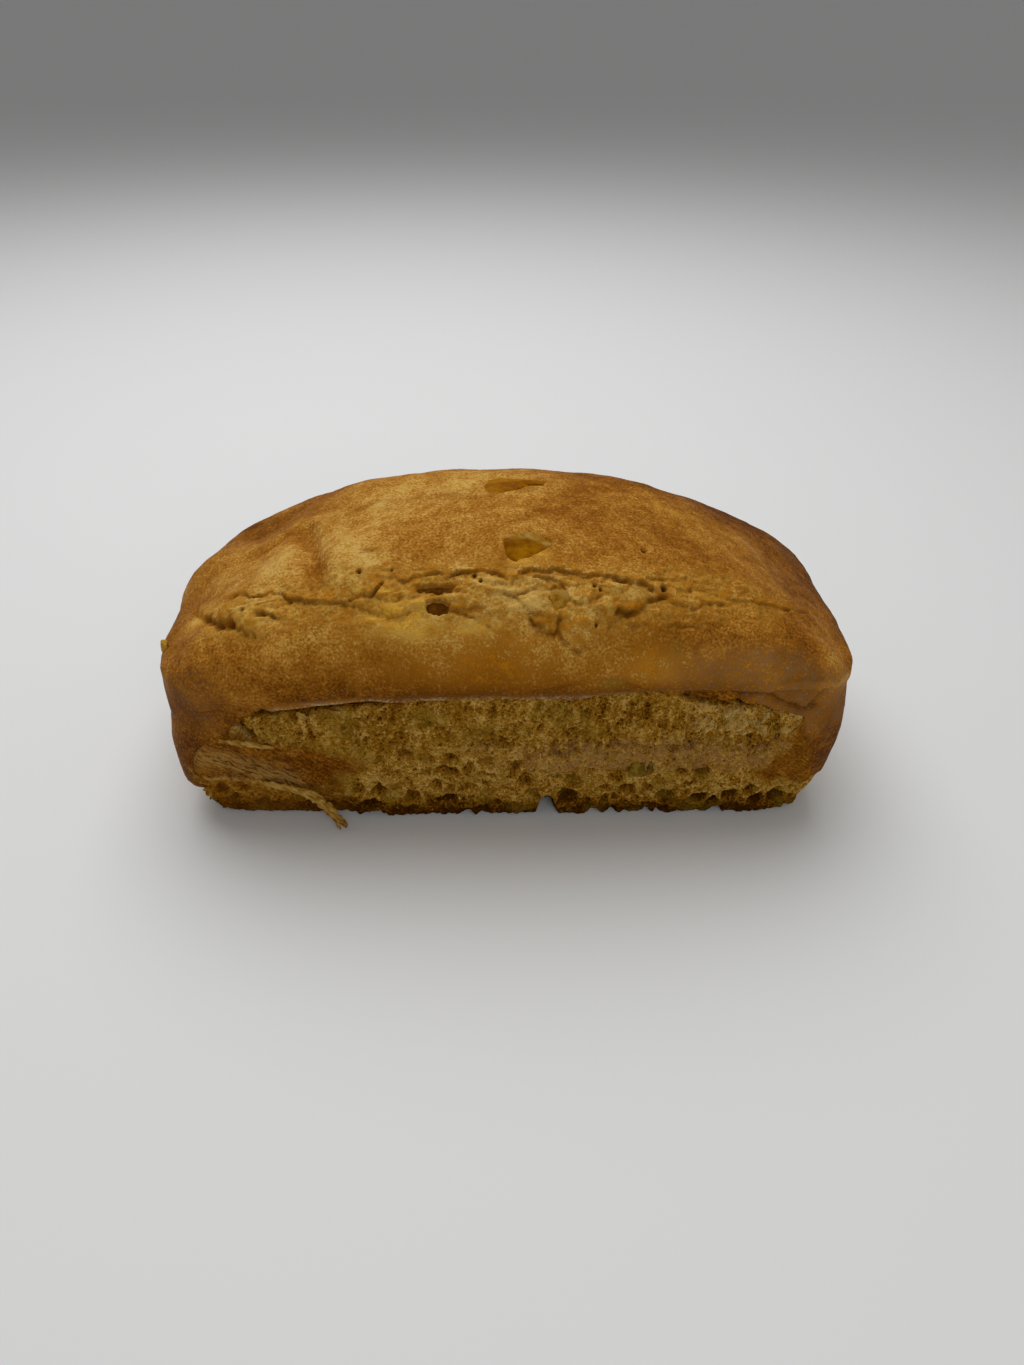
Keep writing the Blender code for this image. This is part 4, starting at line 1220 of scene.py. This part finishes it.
# %% Relief of the crumb
def crumb_relief(points, border):
    """Height over the plain face, and the shares that colour it; border is the distance to its ends."""
    x, _, z = points.T
    wander, scallop, fibres, band = crumb_zones(points)
    height, tone = crumb_texture(points, wander, fibres, band)
    ridge = bell(z - 25.6 - 0.4 * wander, 0.9) * plateau(x, -20.0, -14.0, -4.0, 2.0)
    height += 1.1 * ridge * smooth_step(fractal(points, 2.2, 41, 2), -0.5, 0.5)

    skin, under, curl, fibrous = left_skin(points)
    strand = fractal(slanted(x, z, SKIN_SLOPE), (6.0, 6.0, 0.9), 44)
    height *= (1.0 - 0.5 * under) * (1.0 - 0.7 * skin)
    height += skin * (0.9 + 0.20 * strand) + fibrous * 0.35 * strand + 0.5 * curl - 0.4 * under

    end_skin, lip_skin = right_skins(points, scallop)
    height *= 1.0 - 0.8 * np.maximum(end_skin, lip_skin)
    rise = fade(border, TUCK, TUCK + 8.0) * smooth_step(z, 8.0, 14.0)
    left_rise, right_rise = 2.1 - 1.2 * smooth_step(z, 30.0, 36.0), 2.0 - 1.4 * smooth_step(z, 26.0, 32.0)
    height += rise * np.where(x < 0.0, left_rise, right_rise)

    flaky, flakes = flake_shares(points, np.maximum(lip_skin, end_skin))
    notch, gap = notch_share(points), gap_share(points)
    height += flaky * (1.5 * flakes - 0.4) - NOTCH_DEPTH * notch - GAP_DEPTH * gap

    # Painted shade in the gaps under the lip, in the notch and on the crumb under the flap; the flakes are
    # paler.
    tone += 0.9 * gap + 1.2 * notch + 0.25 * under - flaky * (0.40 * flakes + 0.12)
    slit_rim, _ = side_of_line(x + 0.8, z + 0.7, SLIT)
    pale = np.max((fibrous * 0.40, 0.8 * bell(slit_rim, 0.35), flaky * smooth_step(flakes, 0.1, 0.7),
                   curl * 0.45 * smooth_step(-x, 46.0, 56.0), ridge * 0.4), axis=0)
    covered = np.max((skin, end_skin * 0.9, lip_skin, under * 0.4), axis=0)
    return height, {"pore": np.clip(tone, -0.3, 1.3), "band": band * (1.0 - end_skin),
                    "skin": covered, "fibre": pale * (1.0 - gap)}


# %% Build the crumb
SLAB_LOWEST = 0.1


def build_crumb():
    bm = bmesh.new()
    bmesh.ops.create_grid(bm, x_segments=CRUMB_CELLS[0], y_segments=CRUMB_CELLS[1], size=1.0)
    across, up, _ = coordinates(bm)
    face = face_points(across, (up + 1.0) * 0.5 * TOP_OVERLAP)
    move_points(bm, face)
    bm.normal_update()
    if sum(face.normal.y for face in bm.faces) > 0.0:
        bmesh.ops.reverse_faces(bm, faces=bm.faces)
    left, right = tear_ends(face[:, 2])
    border = np.minimum(face[:, 0] - left, right - face[:, 0]) + TUCK
    height, shares = crumb_relief(face, border)
    tuck = fade(border, 0.0, TUCK)
    height = height * (1.0 - tuck) - TUCK_DEPTH * tuck
    places = face + point_normals(bm) * height[:, None]
    places[:, 2] = np.maximum(places[:, 2], SLAB_LOWEST)
    move_points(bm, places)
    store_shares(bm, shares)
    rim = [edge for edge in bm.edges if edge.is_boundary]
    new = bmesh.ops.extrude_edge_only(bm, edges=rim)["geom"]
    for vert in (item for item in new if isinstance(item, bmesh.types.BMVert)):
        vert.co.y = SLAB_BACK
    bmesh.ops.contextual_create(bm, geom=[item for item in new if isinstance(item, bmesh.types.BMEdge)])
    bmesh.ops.recalc_face_normals(bm, faces=bm.faces)
    finished_object("crumb", bm, crumb_material)


build_crumb()

# %% [markdown]
# ## Torn strips
#
# Skin that stayed stuck to the tin tore off in strips. One hangs down at the left with a split tip,
# a flake stands under the slit, and two small ones cling under the lip. Each is a thin ribbon along
# a smoothed path with ragged edges, a little curled across, and closed by a solidify.

# %% Ribbons
# A ribbon is its path (x, y, z), widths along it, thickness and curl.
RIBBONS = {
    "strip_left": (((-65, -36.4, 16.0), (-59, -37.6, 15.2), (-53.5, -38.2, 14.0), (-49, -38.4, 12.0),
                    (-46.4, -38.4, 8.6), (-44.2, -38.9, 5.6), (-41.4, -39.5, 2.4)),
                   (0.8, 1.4, 2.0, 3.0, 3.2, 2.4, 1.2), 0.6, 0.5),
    "strip_tip": (((-46.2, -38.4, 6.6), (-43.6, -39.3, 4.4), (-43.0, -39.9, 1.8)), (1.2, 1.4, 0.5),
                  0.5, 0.2),
    "flake_slit": (((-70.4, -38.4, 30.8), (-66, -39.4, 30.9), (-62, -39.0, 29.7), (-57.4, -37.4, 27.4)),
                   (0.6, 1.5, 1.7, 0.5), 0.4, 0.35),
    "flake_lip_a": (((-50.6, -37.9, 38.9), (-49.2, -38.5, 38.2), (-47.6, -38.2, 37.6)), (0.9, 1.5, 0.6),
                    0.4, 0.3),
    "flake_lip_b": (((-43.4, -38.0, 39.8), (-41.6, -38.5, 39.3), (-39.8, -38.2, 39.2)), (0.7, 1.2, 0.5),
                    0.4, 0.3),
}
RIBBON_CELLS = (64, 9)
SMOOTHINGS = 4
RAG_SIZE, RAG_SHARE = 1.3, 0.6        # ragged edges, as a share of the width
CRUMPLE_SIZE, CRUMPLE_HEIGHT = 1.8, 0.3
STRIP_STOPS = ((0.3, (0.48, 0.29, 0.070)), (0.5, (0.30, 0.145, 0.018)), (0.7, (0.17, 0.070, 0.007)))


def smooth_path(points, count):
    """Evenly spread points along a path with its corners rounded off."""
    points = np.array(points, float)
    steps = np.linspace(0.0, len(points) - 1.0, count)
    path = np.array([np.interp(steps, np.arange(len(points)), axis) for axis in points.T]).T
    for _ in range(SMOOTHINGS):
        path[1:-1] = (path[:-2] + 2.0 * path[1:-1] + path[2:]) * 0.25
    return path


def build_ribbon(bm, seed, line, widths, thick, curl):
    """Adds one ribbon to the bmesh of all of them."""
    ribbon = bmesh.new()
    bmesh.ops.create_grid(ribbon, x_segments=RIBBON_CELLS[0], y_segments=RIBBON_CELLS[1], size=1.0)
    path = smooth_path(line, RIBBON_CELLS[0] + 1)
    side = np.cross(np.gradient(path, axis=0), (0.0, -1.0, 0.0))
    side /= np.linalg.norm(side, axis=1)[:, None]
    u, v, _ = coordinates(ribbon)
    row = np.rint((u + 1.0) * 0.5 * RIBBON_CELLS[0]).astype(int)
    width = np.interp(row / RIBBON_CELLS[0], np.linspace(0.0, 1.0, len(widths)), widths)
    ragged = 1.0 + RAG_SHARE * fractal(path[row] + side[row] * v[:, None] * 2.0, RAG_SIZE, seed)
    places = path[row] + side[row] * (v * width * 0.5 * ragged)[:, None]
    places[:, 1] += curl * v**2 + CRUMPLE_HEIGHT * fractal(places, CRUMPLE_SIZE, seed + 1)
    move_points(ribbon, places)
    bmesh.ops.solidify(ribbon, geom=ribbon.faces[:] + ribbon.edges[:] + ribbon.verts[:], thickness=thick)
    bmesh.ops.recalc_face_normals(ribbon, faces=ribbon.faces)
    mesh = bpy.data.meshes.new("ribbon")
    ribbon.to_mesh(mesh)
    ribbon.free()
    bm.from_mesh(mesh)
    bpy.data.meshes.remove(mesh)


def strip_finish():
    finish = Finish("torn_strip", Roughness=0.7, Specular_IOR_Level=0.02)
    soft, fine = finish.noise(3.0, 3.0), finish.hairs(0.5, -40.0, 5.0)
    colour = finish.ramp(soft * 0.8 + (fine - 0.5) * 0.9 + 0.05, STRIP_STOPS)
    return finish.surface(Base_Color=colour, Normal=finish.bump(fine, 0.3, 0.7))


strips_bm = bmesh.new()
for number, (line, widths, thick, curl) in enumerate(RIBBONS.values()):
    build_ribbon(strips_bm, 50 + 3 * number, line, widths, thick, curl)
finished_object("torn_strips", strips_bm, strip_finish())

# %% [markdown]
# ## Fruit
#
# Candied peel, citron and raisins are soft and sticky. What shows of each is a pillow that fills a
# hole in the dough, so each is a ball pulled out to an outline drawn from above, laid on the form of
# the dome, with wrinkles. One side of each has a second colour, as light falls through its edge.

# %% Pillows of fruit
WRINKLE_SIZE, WRINKLE_HEIGHT = 2.2, 0.18


def crust_top(x, y):
    """Height of the finished crust in mm, over a place in plan."""
    high = TO_PART @ Vector((x, y, 2.0 * HEIGHT))
    return crust_surface.ray_cast(high, (0.0, 0.0, -1.0))[0].z / MM


def pillow(outline, grow, thick, seed, detail):
    """Flattened ball with an outline; returns its bmesh, its places round the middle, and the middle."""
    bm = bmesh.new()
    bmesh.ops.create_icosphere(bm, subdivisions=detail, radius=1.0)
    ball_x, ball_y, ball_z = coordinates(bm)
    middle = np.mean(outline, axis=0)
    turn = np.arctan2(ball_y, ball_x)
    flat, along, across = np.hypot(ball_x, ball_y), np.cos(turn), np.sin(turn)
    radius = grow / outline_reach(middle[0] + along, middle[1] + across, outline)
    height = np.sign(ball_z) * np.sqrt(np.maximum(1.0 - flat**4, 0.0))
    places = np.array((radius * flat * along, radius * flat * across, thick * height)).T
    places[:, 2] += WRINKLE_HEIGHT * fractal(places, WRINKLE_SIZE, seed, 2)
    return bm, places, middle


FRUIT_SHEEN = (1.0, 0.75, 0.4, 1.0)


def fruit_finish(name, stops, size, second):
    """Clouds of the stops' colours, size mm wide, and a second colour where the rear share is."""
    finish = Finish(name, Specular_IOR_Level=0.02, Specular_Tint=FRUIT_SHEEN)
    broad, fine = finish.noise(size, 2.0), finish.noise(size * 0.25, 3.0, 0.6)
    colour = finish.ramp(broad + (fine - 0.5) * 0.35, stops)
    colour = finish.mix(finish.share("rear") * finish.between(broad + fine, 0.75, 1.15), colour, second)
    gloss = finish.between(fine, 0.3, 0.7) * 0.2 + 0.38
    return finish.surface(Base_Color=colour, Roughness=gloss, Normal=finish.bump(fine + broad, 0.5, 0.7))


def fruit_piece(name, bm, rear, look):
    """Finishes a fruit; it replaces the node of its name, if there is one."""
    store_shares(bm, {"rear": rear})
    nodes = [name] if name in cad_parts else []
    finished_object(name, bm, fruit_finish(*look), nodes)


# %% Fruit of the dome
# The candied peel's dark amber is partly its own colour and partly painted shade of the hollow it sits in.
PEEL_STOPS = ((0.35, (0.35, 0.145, 0.001)), (0.5, (0.25, 0.090, 0.0006)), (0.65, (0.175, 0.055, 0.0004)))
SULTANA_STOPS = ((0.3, (0.37, 0.145, 0.001)), (0.5, (0.28, 0.098, 0.0005)), (0.75, (0.20, 0.062, 0.0004)))
RAISIN_STOPS = ((0.3, (0.155, 0.055, 0.003)), (0.55, (0.085, 0.026, 0.0015)), (0.8, (0.045, 0.012, 0.001)))
CITRON_STOPS = ((0.35, (0.26, 0.155, 0.018)), (0.5, (0.17, 0.095, 0.009)), (0.75, (0.10, 0.052, 0.004)))
BIT_STOPS = ((0.35, (0.46, 0.24, 0.035)), (0.55, (0.37, 0.165, 0.010)), (0.75, (0.24, 0.090, 0.003)))
LEMON_STOPS = ((0.3, (0.68, 0.42, 0.05)), (0.6, (0.50, 0.26, 0.02)), (0.8, (0.32, 0.14, 0.01)))
GREY_GREEN, SMOKY, BROWN = (0.42, 0.25, 0.052), (0.18, 0.095, 0.022), (0.055, 0.022, 0.002)
HONEY = (0.36, 0.150, 0.002)
TOP_FRUIT = {
    # name: (half height, depth of its top under the crust, tilt, side and start of the second colour,
    #        (finish, its colours, size of its clouds in mm, second colour), slot)
    "peel_top": (1.3, 0.55, 0.30, (0.22, 0.97, 0.12),
                 ("candied_peel", PEEL_STOPS, 6.0, GREY_GREEN), "peel"),
    "sultana_crest": (0.8, -0.25, 0.0, (-0.3, 1.0, 0.05),
                      ("sultana_skin", SULTANA_STOPS, 5.0, HONEY), "sultana"),
    "raisin_upper": (1.2, 0.40, 0.0, (0.3, -1.0, 0.20),
                     ("raisin_skin_upper", RAISIN_STOPS, 3.0, SMOKY), "raisin"),
    "raisin_lower": (1.2, 0.65, 0.0, (0.6, -0.8, 0.24),
                     ("raisin_skin_lower", RAISIN_STOPS, 3.0, SMOKY), "raisin"),
    "peel_bit": (0.8, -0.10, 0.0, (0.4, 0.9, 0.05),
                 ("citron_bit", BIT_STOPS, 1.5, GREY_GREEN), "citron"),
}
GROW, RIM = 1.28, 1.45        # the pillow and the rim that carries it, as shares of the outline


def seat_of(outline):
    """How far the crust round a hole lies over the plain dome."""
    middle = np.mean(outline, axis=0)
    rim = middle + RIM * (np.array(outline) - middle)
    return np.mean([crust_top(x, y) - float(dome_level(x, y)) for x, y in rim])


for number, (name, (thick, sunk, tilt, side, look, slot)) in enumerate(TOP_FRUIT.items()):
    outline = HOLES[name][0]
    bm, places, middle = pillow(outline, GROW, thick, 70 + number, 5)
    x, y = places[:, 0] + middle[0], places[:, 1] + middle[1]
    z = dome_level(x, y) + seat_of(outline) - sunk - thick + places[:, 2] + tilt * places[:, 1]
    rear = places[:, 0] * side[0] + places[:, 1] * side[1]
    rear = rear / np.ptp(rear) + 0.06 * fractal(places, 2.5, 90 + number, 2)
    move_points(bm, np.array((x, y, z)).T)
    fruit_piece(name, bm, smooth_step(rear, side[2], side[2] + 0.12), look)

# %% Fruit in the torn side and at the left end
TO_FRONT = Matrix.Rotation(math.radians(90.0), 4, "X")
TO_LEFT = Matrix.Rotation(math.radians(-90.0), 4, "Z") @ TO_FRONT
CITRON_OUTLINE = ((-3.5, -3.2), (-3.3, 2.0), (-0.2, 2.8), (1.6, 3.8), (3.2, 3.0), (3.0, -2.6), (0.0, -3.8))
LEMON_OUTLINE = ((-0.8, -2.0), (-0.9, 1.6), (0.1, 2.3), (0.9, 1.4), (0.9, -1.4), (0.1, -2.3))
SIDE_FRUIT = {
    # name: (outline, half height, place, turn of its flat side, and its look as above)
    "citron_wall": (CITRON_OUTLINE, 1.7, (36.2, -34.6, 18.8), TO_FRONT,
                    ("citron_peel", CITRON_STOPS, 3.0, BROWN)),
    "lemon_bit": (LEMON_OUTLINE, 0.9, (-86.0, -18.0, 45.0), TO_LEFT,
                  ("lemon_peel", LEMON_STOPS, 2.0, GREY_GREEN)),
}

for name, (outline, thick, place, turn, look) in SIDE_FRUIT.items():
    bm, places, _ = pillow(outline, 1.0, thick, 81, 4)
    rear = smooth_step(-np.abs(places[:, 0] - 1.2), -0.7, -0.3) * smooth_step(places[:, 1], -2.5, -0.5)
    places[:, 2] -= 0.5 * rear
    move_points(bm, places)
    bmesh.ops.transform(bm, matrix=Matrix.Translation(place) @ turn, verts=bm.verts)
    fruit_piece(name, bm, rear, look)
